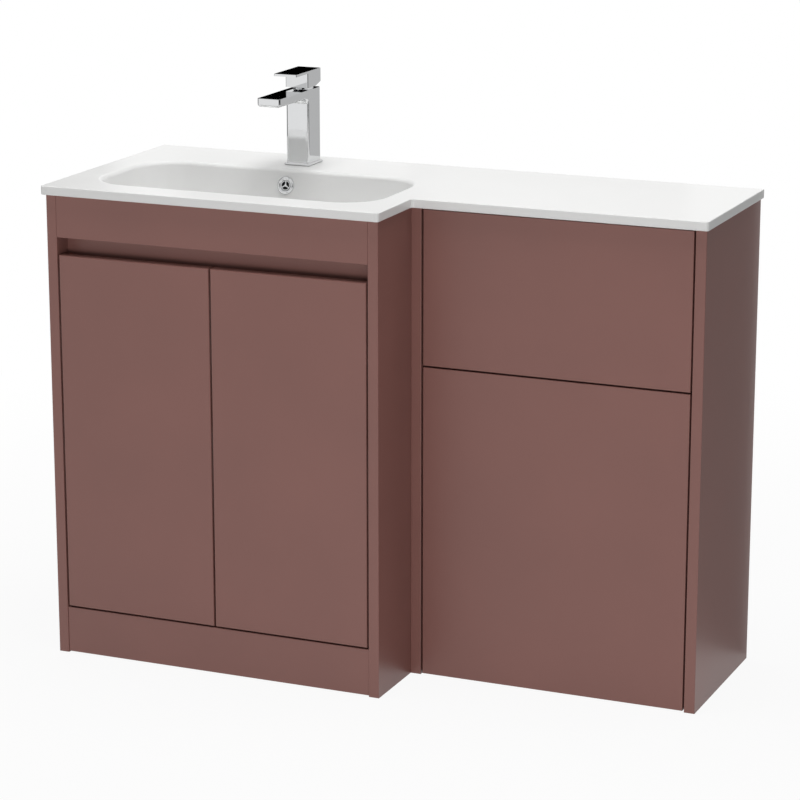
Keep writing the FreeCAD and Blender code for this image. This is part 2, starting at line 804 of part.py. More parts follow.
def build_arm_screws():
    """Builds the machine screws that clamp the arms to their plates."""
    body = new_body("left_arm_screws", "inner_left + plate_thick + arm_bar",
                    "front_y + plate_front + plate_width / 2", "hinge_low")
    rod(body, "x", "-(plate_thick + arm_bar)", "0", "screw_radius")
    rod(body, "x", "0", "screw_head", "screw_head_radius")
    repeat(body, "z", "hinge_pitch", 2)
    return body


def build_doors():
    """Builds both doors with their hinges and bumpers."""
    for maker in (build_door, build_hinge_cups, build_pivot_pins, build_cup_screws):
        piece = maker()
        mirrored(piece.Label.replace("left_", "right_"), piece, "vanity_middle")
    for maker in (build_hinge_arms, build_hinge_plates, build_plate_screws, build_arm_screws):
        both_hands(maker(), "vanity_middle")
    bumpers = new_body("door_bumpers", "vanity_middle - bumper_offset", "front_y",
                       "plinth_height + board / 2")
    rod(bumpers, "y", "board + bumper_gap", "base_setback", "bumper_radius")
    upper = "channel_low + channel_wall - channel_hem / 2 - (plinth_height + board / 2)"
    repeat(bumpers, "x", "2 * bumper_offset", 2, "z", upper, 2)


# WC unit

def build_wc_carcass():
    """Builds the fixed boards of the WC unit."""
    side = ("board", "wc_depth", "carcass_height")
    left = plain_board("wc_left_side", ("join_x", "wc_front_y", "0"), side)
    connector_holes(left, "wc_front_y")
    plain_board("wc_right_side", ("wc_inner_right", "wc_front_y", "0"), side)
    rail = ("wc_inner", "board", "rail_height")
    plain_board("wc_top_rail", ("wc_inner_left", "wall_y - board", "carcass_height - rail_height"), rail,
                rounded=False)
    plain_board("wc_lower_rail", ("wc_inner_left", "wall_y - board", "plinth_height"), rail,
                rounded=False)
    batten = plain_board("wc_left_batten", ("wc_inner_left", "wc_batten_front", "0"),
                         ("wc_batten_width", "board", "carcass_height"), rounded=False)
    low = "wc_upper_bottom + clip_inset"
    sockets = [("wc_batten_width / 2", low), ("wc_batten_width / 2", f"{low} + clip_pitch_z")]
    drill(batten, "+y", "0", "clip_socket", "clip_radius", sockets)
    mirrored("wc_right_batten", batten, "wc_middle")
    plain_board("wc_cross_rail",
                ("wc_inner_left + wc_batten_width", "wc_batten_front", "wc_split - rail_height / 2"),
                ("wc_inner - 2 * wc_batten_width", "board", "rail_height"), rounded=False)


def build_wc_panels():
    """Builds the fixed lower panel and the lift-off upper panel."""
    front = "wc_front_y + wc_panel_setback"
    plain_board("wc_lower_panel", ("wc_inner_left + reveal", front, "floor_gap"),
                ("wc_panel_width", "board + wc_panel_gap", "wc_lower_top - floor_gap"))
    upper = plain_board("wc_upper_panel", ("wc_inner_left + reveal", front, "wc_upper_bottom"),
                        ("wc_panel_width", "board", "wc_upper_height"))
    near = "wc_batten_width / 2 - reveal"
    spots = [(f"{near} + {column} * clip_pitch_x", f"clip_inset + {row} * clip_pitch_z")
             for column in (0, 1) for row in (0, 1)]
    drill(upper, "-y", "board", "clip_plate", "clip_radius", spots)


def build_wc_clips():
    """Builds the push-in sockets and the studs of the upper panel."""
    middle = "wc_inner_left + wc_batten_width / 2"
    low = "wc_upper_bottom + clip_inset"
    sockets = new_body("wc_clip_sockets", middle, "wc_batten_front", low)
    rod(sockets, "y", "0", "clip_socket", "clip_radius")
    drill(sockets, "+y", "0", "clip_bore_depth", "clip_bore")
    repeat(sockets, "x", "clip_pitch_x", 2, "z", "clip_pitch_z", 2)
    studs = new_body("wc_clip_studs", middle, "wc_panel_back", low)
    rod(studs, "y", "-clip_plate", "0", "clip_radius")
    rod(studs, "y", "0", "clip_stud_length", "clip_stud_radius")
    soften(studs, "clip_stud_round", all_at("Y", "clip_stud_length"))
    repeat(studs, "x", "clip_pitch_x", 2, "z", "clip_pitch_z", 2)


# Joining bolts and wall brackets

def build_connectors():
    """Builds the sleeve nuts and bolts that join the two cabinets."""
    head = ("connector_head_radius", "connector_head")
    sleeves = new_body("connector_sleeves", "inner_right", "connector_front_y", "connector_low")
    rod(sleeves, "x", minus(head[1]), "0", head[0])
    rod(sleeves, "x", "0", "sleeve_length", "sleeve_radius")
    drill(sleeves, "-x", "sleeve_length", "sleeve_length - connector_head", "sleeve_bore + hole_play")
    repeat(sleeves, "y", "connector_pitch_y", 2, "z", "connector_pitch_z", 2)
    bolts = new_body("connector_bolts", "wc_inner_left", "connector_front_y", "connector_low")
    rod(bolts, "x", "0", head[1], head[0])
    rod(bolts, "x", "-(2 * board - 2 * connector_head)", "0", "sleeve_bore")
    repeat(bolts, "y", "connector_pitch_y", 2, "z", "connector_pitch_z", 2)


def build_bracket(label, inner, middle):
    """Builds one pair of angle brackets and their side screws."""
    body = new_body(f"{label}_left_bracket", inner, "wall_y", "bracket_low")
    corners = [("0", "0"), ("0", "-bracket_leg"), ("bracket_sheet", "-bracket_leg"),
               ("bracket_sheet", "-bracket_sheet"), ("bracket_leg", "-bracket_sheet"), ("bracket_leg", "0")]
    pad(polygon(sketch_at(body, "z"), corners), "z", "bracket_height")
    half = "bracket_height / 2"
    drill(body, "+y", "-bracket_sheet", "bracket_sheet", "bracket_slot", [("bracket_slot_out", half)])
    first_screw = f"{half} - bracket_screw_spacing / 2"
    drill(body, "-x", "bracket_sheet", "bracket_sheet", "screw_radius + hole_play",
          [("-bracket_screw_back", first_screw),
           ("-bracket_screw_back", f"{first_screw} + bracket_screw_spacing")])
    screws = new_body(f"{label}_left_bracket_screws", f"{inner} + bracket_sheet",
                      "wall_y - bracket_screw_back", f"bracket_low + {first_screw}")
    rod(screws, "x", "-(bracket_sheet + screw_bite)", "0", "screw_radius")
    rod(screws, "x", "0", "screw_head", "screw_head_radius")
    repeat(screws, "z", "bracket_screw_spacing", 2)
    brackets = [body, mirrored(f"{label}_right_bracket", body, middle)]
    fixings = [screws, mirrored(f"{label}_right_bracket_screws", screws, middle)]
    return brackets, fixings


def build_brackets():
    """Builds the wall brackets of both cabinets."""
    vanity = build_bracket("vanity", "inner_left", "vanity_middle")
    toilet = build_bracket("wc", "wc_inner_left", "wc_middle")
    group("wall_brackets", vanity[0] + toilet[0])
    group("bracket_screws", vanity[1] + toilet[1])


# Basin top

def bowl_section(body, height, grow):
    """Draws the bowl's rounded outline at a height, grown outwards by a wall."""
    down = f"bowl_taper * (top_thickness - ({height}))"
    length = f"bowl_length - 2 * {down} + 2 * ({grow})"
    width = f"bowl_width - 2 * {down} + 2 * ({grow})"
    corner = f"min(bowl_corner - {down} / 2; 0.45 * (bowl_width - 2 * {down})) + ({grow})"
    return rounded_rectangle(sketch_at(body, "z", height), ("basin_x", "bowl_y"), length, width, corner)


def loft(body, kind, lower, upper):
    """Joins two sections by straight walls."""
    feature = body.newObject(f"PartDesign::{kind}Loft", f"{body.Name}_{kind.lower()}_loft")
    feature.Profile = upper
    feature.Sections = [lower]
    feature.Ruled = True
    return feature


def build_basin():
    """Builds the one-piece top with its bowl and holes."""
    body = new_body("basin_casting", "0", "0", "carcass_height")
    left, right = "left_x - top_side_overhang", "right_x + top_side_overhang"
    step = "join_x + top_side_overhang"
    near, far = "front_y - top_front_overhang", "wc_front_y - top_front_overhang"
    corners = [(left, near), (step, near), (step, far), (right, far), (right, "wall_y"), (left, "wall_y")]
    pad(polygon(sketch_at(body, "z"), corners), "z", "top_thickness")
    rounds = [upright_at(*corner) for corner in corners[:4]]
    soften(body, "top_corner", lambda edge: any(test(edge) for test in rounds))
    shell_floor = "top_thickness - bowl_depth - bowl_wall"
    loft(body, "Additive", bowl_section(body, shell_floor, "bowl_wall"),
         bowl_section(body, "0", "bowl_wall"))
    soften(body, "shell_round", all_at("Z", shell_floor))
    inner_floor = "top_thickness - bowl_depth"
    loft(body, "Subtractive", bowl_section(body, inner_floor, "0"),
         bowl_section(body, "top_thickness", "0"))
    soften(body, "bowl_floor_round", all_at("Z", inner_floor))
    at_top, at_underside = all_at("Z", "top_thickness"), all_at("Z", "0")
    low_x, high_x = value("basin_x - bowl_length / 2"), value("basin_x + bowl_length / 2")
    low_y, high_y = value("bowl_y - bowl_width / 2"), value("bowl_y + bowl_width / 2")

    def on_rim(edge):
        bounds = edge.BoundBox
        return (low_x - 0.01 <= bounds.XMin and bounds.XMax <= high_x + 0.01
                and low_y - 0.01 <= bounds.YMin and bounds.YMax <= high_y + 0.01)
    soften(body, "bowl_lip", lambda edge: at_top(edge) and on_rim(edge))
    wall = value("wall_y")

    def on_outline(edge):
        bounds = edge.BoundBox
        inside = (bounds.XMin > value(left) + 0.01 and bounds.XMax < value(step) - 0.01
                  and bounds.YMin > value(near) + 0.01)
        return not inside and bounds.YMin < wall - 0.01
    soften(body, "top_arris", lambda edge: (at_top(edge) or at_underside(edge)) and on_outline(edge))
    drill(body, "-z", "top_thickness", None, "tap_hole_radius", [("basin_x", "tap_y")])
    drill(body, "-z", inner_floor, None, "waste_hole", [("basin_x", "waste_y")])
    bore = doc.addObject("Part::Cylinder", "overflow_drill")
    bore.setExpression("Radius", bound("overflow_bore"))
    bore.setExpression("Height", bound("2 * bowl_wall"))
    lean(bore, "-1.6 * bowl_wall")
    top = doc.addObject("Part::Cut", "basin_top")
    top.Base = body
    top.Tool = bore


def lean(item, along="0"):
    """Stands a piece on the bowl's back wall, its Z axis square to the wall."""
    item.Placement = FreeCAD.Placement(FreeCAD.Vector(), FreeCAD.Rotation(FreeCAD.Vector(1, 0, 0), 75))
    angle = "(90 deg - atan(bowl_taper))"
    item.setExpression(".Placement.Rotation.Angle", bound(angle))
    place(item, "basin_x", f"overflow_y - ({along}) * sin{angle}", f"overflow_z + ({along}) * cos{angle}")


def build_overflow():
    """Builds the overflow's ring, insert and elbow."""
    ring = new_body("overflow_ring")
    lean(ring)
    rod(ring, "z", "0", "overflow_ring_height", "overflow_ring_radius")
    rod(ring, "z", "-overflow_spigot", "0", "overflow_bore - hole_play")
    drill(ring, "-z", "overflow_ring_height", None, "overflow_throat")
    wide = value("overflow_throat") + 0.1
    at_face = all_at("Z", "overflow_ring_height")
    soften(ring, "overflow_ring_round",
           lambda edge: at_face(edge) and edge.BoundBox.XLength > 2 * wide)
    insert = new_body("overflow_insert")
    lean(insert)
    low, high, rim = "-insert_thick / 2", "insert_thick / 2", "overflow_throat - hole_play"
    rod(insert, "z", low, high, rim)
    drill(insert, "-z", high, None, f"{rim} - insert_rim")
    reach, half = f"({rim} - insert_rim / 2)", "insert_arm / 2"
    down, side = f"{reach} * sin(30 deg)", f"{reach} * cos(30 deg)"
    part, rest = f"{half} * sin(30 deg)", f"{half} * cos(30 deg)"
    crotch = f"{half} * tan(30 deg)"
    arms = [
        (half, crotch), (half, reach), (minus(half), reach), (minus(half), crotch),
        (f"-{side} - {part}", f"-{down} + {rest}"), (f"-{side} + {part}", f"-{down} - {rest}"),
        ("0", f"-{half} / cos(30 deg)"),
        (f"{side} - {part}", f"-{down} - {rest}"), (f"{side} + {part}", f"-{down} + {rest}"),
    ]
    pad(polygon(sketch_at(insert, "z", low), arms), "z", "insert_thick")
    rod(insert, "z", low, high, "insert_hub")
    elbow = new_body("overflow_elbow")
    lean(elbow, "-wall_normal")
    rod(elbow, "z", "-elbow_flange", "0", "elbow_flange_radius")
    rod(elbow, "z", "-elbow_length", "-elbow_flange", "elbow_radius")
    tail = sketch_at(elbow, "y", "0")
    circle(tail, ("0", "-elbow_length / 2"), "elbow_tail_radius")
    pad(tail, "y", "elbow_tail_length").Reversed = False
    drill(elbow, "-z", "0", "elbow_length - elbow_flange", "elbow_bore")
    drill(elbow, "-y", "0", "elbow_tail_length", "elbow_tail_bore", [("0", "-elbow_length / 2")])


def build_waste():
    """Builds the waste fitting under the bowl."""
    spot = ("basin_x", "waste_y", "bowl_floor")
    body = new_body("waste_body", *spot)
    rod(body, "z", "0", "waste_flange", "waste_flange_radius")
    rod(body, "z", "-waste_tail_length", "0", "waste_tail_radius")
    drill(body, "-z", "waste_flange", None, "waste_bore")
    relief = sketch_at(body, "y")
    under_nut = "-(bowl_wall + waste_seal_thickness + nut_height + waste_relief)"
    rectangle(relief, "waste_tail_radius - waste_relief_depth", f"{under_nut} - waste_relief",
              "waste_tail_radius + waste_relief_depth", under_nut)
    turned(body, relief, cut=True)
    low, high = "-spider_depth", "-spider_depth + spider_height"
    reach, half = "waste_bore + spider_root", "spider_arm / 2"
    box(body, (minus(reach), minus(half), low), (reach, half, high))
    box(body, (minus(half), minus(reach), low), (half, reach, high))
    rod(body, "z", low, high, "spider_hub")
    drill(body, "-z", high, "spider_height", "plug_stem + stem_play")
    at_rim = all_at("Z", "waste_flange")
    wide = value("waste_flange_radius")
    soften(body, "waste_flange_round", lambda edge: at_rim(edge) and edge.BoundBox.XLength > wide)
    seal = new_body("waste_seal", *spot)
    rod(seal, "z", "-(bowl_wall + waste_seal_thickness)", "-bowl_wall", "waste_seal_radius")
    drill(seal, "-z", "-bowl_wall", None, "waste_tail_radius + hole_play")
    nut = new_body("waste_back_nut", "basin_x", "waste_y", "bowl_floor - bowl_wall - waste_seal_thickness")
    rod(nut, "z", "-nut_height", "0", "nut_radius")
    box(nut, ("-nut_wing", "-nut_wing_width / 2", "-nut_height"), ("nut_wing", "nut_wing_width / 2", "0"))
    drill(nut, "-z", "0", None, "waste_tail_radius + hole_play")
    plug = new_body("waste_plug", *spot)
    rod(plug, "z", "waste_flange + plug_gap", "waste_flange + plug_gap + plug_cap", "plug_radius")
    rod(plug, "z", "-plug_stem_length", "waste_flange + plug_gap", "plug_stem")
    soften(plug, "plug_round", all_at("Z", "waste_flange + plug_gap + plug_cap"))


# Tap

def tap_frame(label):
    """Starts a body at the tap's foot on the top."""
    return new_body(label, "basin_x", "tap_y", "top_z")


def build_tap_body():
    """Builds the square column and the flat spout."""
    body = tap_frame("tap_body")
    half, deep = "tap_width / 2", "tap_column / 2"
    foot, low = "column_foot", "tap_height - spout_thickness"
    box(body, (minus(half), minus(deep), foot), (half, deep, "tap_height"))
    spout = rectangle(sketch_at(body, "x", minus(half)), "-spout_tip", low, "0", "tap_height")
    pad(spout, "x", "tap_width")

    def root(edge):
        bounds = edge.BoundBox
        return (all_at("Z", low)(edge) and all_at("Y", minus(deep))(edge) and bounds.XLength > 1)
    soften(body, "spout_root", root)
    rear = [upright_at(side, deep) for side in (half, minus(half))]
    soften(body, "tap_round", lambda edge: any(test(edge) for test in rear))

    def outer_edge(edge):
        bounds = edge.BoundBox
        flank = abs(abs(bounds.XMin) - value(half)) < 0.001 and bounds.XLength < 0.001
        forward = bounds.YMax < value(minus(deep)) + value("spout_root") + 0.01
        raised = bounds.ZMin < value("tap_height") - 0.01 and bounds.ZMax > value(foot) + 0.01
        tip = all_at("Y", "-spout_tip")(edge) and all_at("Z", low)(edge)
        return (flank and forward and raised) or tip
    soften(body, "tap_round", outer_edge)
    soften(body, "tap_edge", all_at("Z", "tap_height"))
    wing, rim = "tap_flange_width / 2", "tap_flange_depth / 2"
    flange = rectangle(sketch_at(body, "z", "tap_seal_thickness"), minus(wing), minus(rim), wing, rim)
    pad(flange, "z", "tap_flange")
    wide = value(wing)

    def flange_top(edge):
        bounds = edge.BoundBox
        return all_at("Z", foot)(edge) and (max(abs(bounds.XMin), abs(bounds.XMax)) > wide - 0.01)
    soften(body, "tap_flange_bevel", flange_top, "Chamfer")
    drill(body, "-z", "tap_height", "cartridge_depth", "cartridge_bore")
    inlets = [("inlet_side", "-inlet_front"), ("-inlet_side", "-inlet_front")]
    for centre in inlets:
        rod(body, "z", "inlet_end", "tap_seal_thickness + tap_flange / 2", "inlet_boss", centre)
    drill(body, "+z", "inlet_end", "inlet_depth", "inlet_radius", inlets)
    drill(body, "+z", "tap_seal_thickness", "inlet_depth", "stud_radius + hole_play", [("0", "stud_back")])
    drill(body, "+z", low, "aerator_recess", "aerator_radius", [("0", "-spout_tip + aerator_inset")])


def build_tap_inside():
    """Builds the cartridge, the turning dome, the cross pin and the stem."""
    floor = "tap_height - cartridge_depth"
    cartridge = tap_frame("tap_cartridge")
    top = "lever_pivot_z - dome_skirt - dome_gap"
    rod(cartridge, "z", floor, top, "cartridge_bore - cartridge_play")
    drill(cartridge, "-z", top, "rotor_shaft_length + rotor_end_play", "rotor_shaft + rotor_play")
    rotor = tap_frame("tap_rotor")
    outline = sketch_at(rotor, "y")
    dome_outline(outline)
    turned(rotor, outline)
    slot = rectangle(sketch_at(rotor, "z", "lever_pivot_z + dome_radius"), "-stem_width / 2 - slot_play",
                     "-slot_front", "stem_width / 2 + slot_play", "slot_back")
    pocket(slot, "-z", "dome_radius + slot_floor")
    pivot = ("0", "lever_pivot_z")
    drill(rotor, "-x", "dome_radius", "2 * dome_radius", "cross_pin_radius + hole_play", [pivot])
    pin = tap_frame("tap_cross_pin")
    rod(pin, "x", "-cross_pin_length / 2", "cross_pin_length / 2", "cross_pin_radius", pivot)
    stem = tap_frame("tap_stem")
    half = "stem_width / 2"
    box(stem, (minus(half), minus(half), "lever_pivot_z - stem_foot"), (half, half, "stem_top"))
    drill(stem, "-x", half, None, "cross_pin_radius + pivot_play", [pivot])


def dome_outline(sketch):
    """Draws the half outline of the dome with its shaft."""
    skirt = "lever_pivot_z - dome_skirt"
    edge = "sqrt(dome_radius * dome_radius - dome_skirt * dome_skirt)"
    foot = f"{skirt} - rotor_shaft_length"
    crown = "lever_pivot_z + dome_radius"
    spots = [("0", crown), ("0", foot), ("rotor_shaft", foot), ("rotor_shaft", skirt), (edge, skirt)]
    points = [vector(spot) for spot in spots]
    for start, end in zip(points, points[1:]):
        sketch.addGeometry(Part.LineSegment(start, end), False)
    middle = FreeCAD.Vector(0, value("lever_pivot_z"), 0)
    ring = Part.Circle(middle, FreeCAD.Vector(0, 0, 1), value("dome_radius"))
    sketch.addGeometry(Part.ArcOfCircle(ring, ring.parameter(points[-1]), ring.parameter(points[0])), False)
    for index in range(3):
        sketch.addConstraint(Sketcher.Constraint("Coincident", index, 2, index + 1, 1))
    sketch.addConstraint(Sketcher.Constraint("Coincident", 3, 2, 4, 1))
    sketch.addConstraint(Sketcher.Constraint("Coincident", 4, 2, 0, 1))
    for index, spot in enumerate(spots[:4]):
        pin_point(sketch, index, 1, spot)
    bind(sketch, Sketcher.Constraint("DistanceY", -1, 1, 3, 2, value(skirt)), skirt)
    pin_point(sketch, 4, 3, ("0", "lever_pivot_z"))


def build_tap_lever():
    """Builds the flat lever with its block, socket and grub screw."""
    body = tap_frame("tap_lever")
    half, deep = "tap_width / 2", "tap_column / 2"
    under = "lever_top - lever_plate"
    corners = [
        (minus(deep), "lever_bottom"),
        ("lever_bevel_start", "lever_bottom"),
        (deep, "lever_bottom + lever_back_rise"),
        (deep, "lever_top"),
        (f"-{deep} - lever_reach", "lever_top"),
        (f"-{deep} - lever_reach", under),
        (minus(deep), under),
    ]
    pad(polygon(sketch_at(body, "x", minus(half)), corners), "x", "tap_width")
    tip = f"-{deep} - lever_reach"
    for radius, spot in (("lever_round", minus(deep)), ("lever_tip_round", tip)):
        corner_edges = [upright_at(side, spot) for side in (half, minus(half))]
        soften(body, radius, lambda edge: any(test(edge) for test in corner_edges))
    soften(body, "tap_edge", all_at("Z", "lever_top"))
    outline = sketch_at(body, "y")
    socket_outline(outline)
    turned(body, outline, cut=True)
    reach = "stem_width / 2 + hole_play"
    hole = rectangle(sketch_at(body, "z", "lever_bottom"), minus(reach), minus(reach), reach, reach)
    pocket(hole, "+z", "stem_socket")
    height = "lever_bottom + grub_height"
    drill(body, "-y", deep, f"{deep} - stem_width / 2", "grub_radius + hole_play", [("0", height)])
    grub = tap_frame("lever_grub_screw")
    rod(grub, "y", "stem_width / 2", "stem_width / 2 + grub_length", "grub_radius", ("0", height))


def socket_outline(sketch):
    """Draws the half outline of the hollow that clears the dome."""
    radius = "dome_radius + dome_gap"
    spots = [("0", "lever_pivot_z"), (radius, "lever_pivot_z")]
    crown = ("0", f"lever_pivot_z + {radius}")
    points = [vector(spot) for spot in spots + [crown]]
    ring = Part.Circle(points[0], FreeCAD.Vector(0, 0, 1), value(radius))
    sketch.addGeometry(Part.LineSegment(points[0], points[1]), False)
    sketch.addGeometry(Part.ArcOfCircle(ring, 0.0, 1.5707963267948966), False)
    sketch.addGeometry(Part.LineSegment(points[2], points[0]), False)
    sketch.addConstraint(Sketcher.Constraint("Coincident", 0, 2, 1, 1))
    sketch.addConstraint(Sketcher.Constraint("Coincident", 1, 2, 2, 1))
    sketch.addConstraint(Sketcher.Constraint("Coincident", 2, 2, 0, 1))
    pin_point(sketch, 0, 1, spots[0])
    pin_point(sketch, 0, 2, spots[1])
    pin_point(sketch, 2, 1, crown)


def build_tap_fixings():
    """Builds the seal, aerator, stud, washers and nut of the tap."""
    seal = tap_frame("tap_base_seal")
    wide, deep = "tap_flange_width / 2 - tap_seal_inset", "tap_flange_depth / 2 - tap_seal_inset"
    box(seal, (minus(wide), minus(deep), "0"), (wide, deep, "tap_seal_thickness"))
    drill(seal, "-z", "tap_seal_thickness", None, "tap_hole_radius")
    aerator = tap_frame("tap_aerator")
    roof = "tap_height - spout_thickness + aerator_recess"
    middle = ("0", "-spout_tip + aerator_inset")
    rod(aerator, "z", f"{roof} - aerator_height", roof, "aerator_radius - hole_play", middle)
    drill(aerator, "+z", f"{roof} - aerator_height", "aerator_mouth_depth", "aerator_mouth", [middle])
    stud = tap_frame("tap_fixing_stud")
    top = "tap_seal_thickness + inlet_depth"
    rod(stud, "z", f"{top} - stud_length", top, "stud_radius", ("0", "stud_back"))
    layers = [("tap_rubber_washer", "washer_top", "washer_rubber"),
              ("tap_steel_washer", "steel_top", "washer_steel")]
    for label, height, thickness in layers:
        washer = tap_frame(label)
        rod(washer, "z", f"{height} - {thickness}", height, "washer_radius")
        opening = rectangle(sketch_at(washer, "z", height), minus("washer_slot"), "-2 * washer_radius",
                            "washer_slot", "washer_slot_back")
        pocket(opening, "-z")
        drill(washer, "-z", height, None, "stud_radius + hole_play", [("0", "stud_back")])
    nut = tap_frame("tap_fixing_nut")
    around = [(1, 0), (0.5, 0.866), (-0.5, 0.866), (-1, 0), (-0.5, -0.866), (0.5, -0.866)]
    corners = [(f"{u} * fixing_nut_radius", f"stud_back + {v} * fixing_nut_radius") for u, v in around]
    pad(polygon(sketch_at(nut, "z", "nut_top - fixing_nut_height"), corners), "z", "fixing_nut_height")
    drill(nut, "-z", "nut_top", None, "stud_radius + hole_play", [("0", "stud_back")])


build_vanity_carcass()
build_handle_channel()
build_shelf_pins()
build_doors()
build_wc_carcass()
build_wc_panels()
build_wc_clips()
build_connectors()
build_brackets()
build_basin()
build_overflow()
build_waste()
build_tap_body()
build_tap_inside()
build_tap_lever()
build_tap_fixings()
doc.recompute()

SOLID_TYPES = ("PartDesign::Body", "Part::Mirroring", "Part::Compound", "Part::Cut", "Part::Cylinder")
os.makedirs("parts", exist_ok=True)
for item in doc.Objects:
    if "Invalid" in item.State or "Error" in item.State:
        raise RuntimeError(f"{item.Name} did not build")
    if item.TypeId in SOLID_TYPES and item.Label not in GATHERED:
        if item.Shape.isNull() or not item.Shape.isValid() or not item.Shape.Solids:
            raise RuntimeError(f"{item.Label} has no sound shape")
        item.Shape.exportStep(f"parts/{item.Label}.step")
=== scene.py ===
"""Studio scene of a bathroom vanity unit: basin cabinet, toilet furniture, cast top and lever tap."""

from __future__ import annotations

import json
import logging
import math
from abc import ABC, abstractmethod
from dataclasses import dataclass, field
from enum import Enum
from typing import ClassVar

import bmesh
import bpy
from mathutils import Matrix, Vector

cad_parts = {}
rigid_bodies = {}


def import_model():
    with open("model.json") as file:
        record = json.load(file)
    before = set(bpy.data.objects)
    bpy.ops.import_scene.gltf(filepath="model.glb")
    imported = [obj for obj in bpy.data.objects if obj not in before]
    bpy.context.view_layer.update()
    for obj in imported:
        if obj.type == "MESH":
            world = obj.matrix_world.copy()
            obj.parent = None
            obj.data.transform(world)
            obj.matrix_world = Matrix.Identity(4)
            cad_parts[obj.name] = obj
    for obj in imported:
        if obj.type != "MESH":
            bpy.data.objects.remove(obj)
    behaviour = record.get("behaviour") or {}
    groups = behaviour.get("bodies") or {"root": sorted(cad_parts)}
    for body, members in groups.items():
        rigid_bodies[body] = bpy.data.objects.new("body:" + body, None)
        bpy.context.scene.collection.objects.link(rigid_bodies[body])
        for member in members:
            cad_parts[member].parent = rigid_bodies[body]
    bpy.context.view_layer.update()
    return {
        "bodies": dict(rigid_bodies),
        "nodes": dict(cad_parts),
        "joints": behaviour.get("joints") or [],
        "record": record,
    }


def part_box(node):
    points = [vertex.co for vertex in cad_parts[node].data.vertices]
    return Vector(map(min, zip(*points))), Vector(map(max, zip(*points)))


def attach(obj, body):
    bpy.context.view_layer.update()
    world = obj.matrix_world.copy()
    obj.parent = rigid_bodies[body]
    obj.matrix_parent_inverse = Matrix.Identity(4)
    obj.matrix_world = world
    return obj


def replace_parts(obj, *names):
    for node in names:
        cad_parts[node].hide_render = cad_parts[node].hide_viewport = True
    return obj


LOG = logging.getLogger("vanity_unit")

Tree = bpy.types.NodeTree
Node = bpy.types.Node
Socket = bpy.types.NodeSocket
Mesh = bmesh.types.BMesh
Frame = dict
Colour = tuple[float, float, float, float]
Point = tuple[float, float, float]


def mm(length: float) -> float:
    """Gives a length in millimetres as metres."""
    return length / 1000.0


# Corners nearer than this are one corner
WELD = mm(0.001)
# Faces that meet more sharply than this keep a crisp edge
SHARP_ANGLE = math.radians(35.0)
# A wave pattern runs through this many radians in a metre at a scale of one
WAVE_RADIANS = 20.0


def per_metre(size_mm: float) -> float:
    """Gives a pattern's scale from the real size of one repeat in millimetres."""
    return 1000.0 / size_mm


def linear(colour: str, share: float = 1.0) -> Colour:
    """Turns an sRGB hex colour into linear light.

    Args:
        colour: six hex digits after a hash sign.
        share: how much of the light is kept, for a paler or darker patch of the colour.

    Returns:
        Red, green, blue and an alpha of one.
    """
    parts = [int(colour[start:start + 2], 16) / 255.0 for start in (1, 3, 5)]
    # The curve of the sRGB standard
    light = [part / 12.92 if part <= 0.04045 else ((part + 0.055) / 1.055) ** 2.4 for part in parts]
    red, green, blue = (share * part for part in light)
    return (red, green, blue, 1.0)


def add_node(tree: Tree, kind: str, settings: dict | None = None, links: dict | None = None) -> Node:
    """Adds a node with its settings and links.

    Args:
        tree: the node tree that takes the node.
        kind: the node's type name without the leading words ShaderNode.
        settings: input sockets by name or number, properties by name, or the stops of a colour ramp as
            positions with colours, each with its value.
        links: input sockets by name or number with the output sockets that feed them.

    Returns:
        The new node.
    """
    node = tree.nodes.new(f"ShaderNode{kind}")
    for key, value in (settings or {}).items():
        if key == "stops":
            for stop, (position, colour) in zip(node.color_ramp.elements, value):
                stop.position, stop.color = position, colour
        elif isinstance(key, str) and hasattr(node, key):
            setattr(node, key, value)
        else:
            node.inputs[key].default_value = value
    for key, source in (links or {}).items():
        tree.links.new(source, node.inputs[key])
    return node


def blank_material(name: str) -> bpy.types.Material:
    """Makes a material without nodes.

    Args:
        name: name of the material.

    Returns:
        The material, ready for its nodes.
    """
    material = bpy.data.materials.new(name)
    material.use_nodes = True
    material.node_tree.nodes.clear()
    return material


def add_object(name: str, data: bpy.types.ID) -> bpy.types.Object:
    """Makes an object and links it to the scene.

    Args:
        name: name of the object.
        data: its mesh, camera or lamp.

    Returns:
        The new object.
    """
    item = bpy.data.objects.new(name, data)
    bpy.context.scene.collection.objects.link(item)
    return item


class RawEdge(Enum):
    """Which faces of a board show its cut core."""

    BACK = "back"
    ENDS = "ends"


class Finish(ABC):
    """A finish that is made once and shared by every piece that has it."""

    made: ClassVar[dict[str, bpy.types.Material]] = {}
    slot: ClassVar[str]
    title: ClassVar[str]

    @property
    def name(self) -> str:
        """Names the material."""
        return self.title

    def material(self) -> bpy.types.Material:
        """Gives the finish's material and builds it at the first call.

        Returns:
            The shared material.
        """
        if self.name not in self.made:
            material = blank_material(self.name)
            tree = material.node_tree
            shader = add_node(tree, "BsdfPrincipled")
            add_node(tree, "OutputMaterial", links={"Surface": shader.outputs[0]})
            place = add_node(tree, "TexCoord").outputs["Object"]
            self.surface(tree, shader, place)
            self.made[self.name] = material
        return self.made[self.name]

    @abstractmethod
    def surface(self, tree: Tree, shader: Node, place: Socket) -> None:
        """Sets the shader and feeds it the finish's patterns.

        Args:
            tree: the material's node tree.
            shader: the principled shader of the material.
            place: the output socket with the piece's own coordinates in metres.
        """


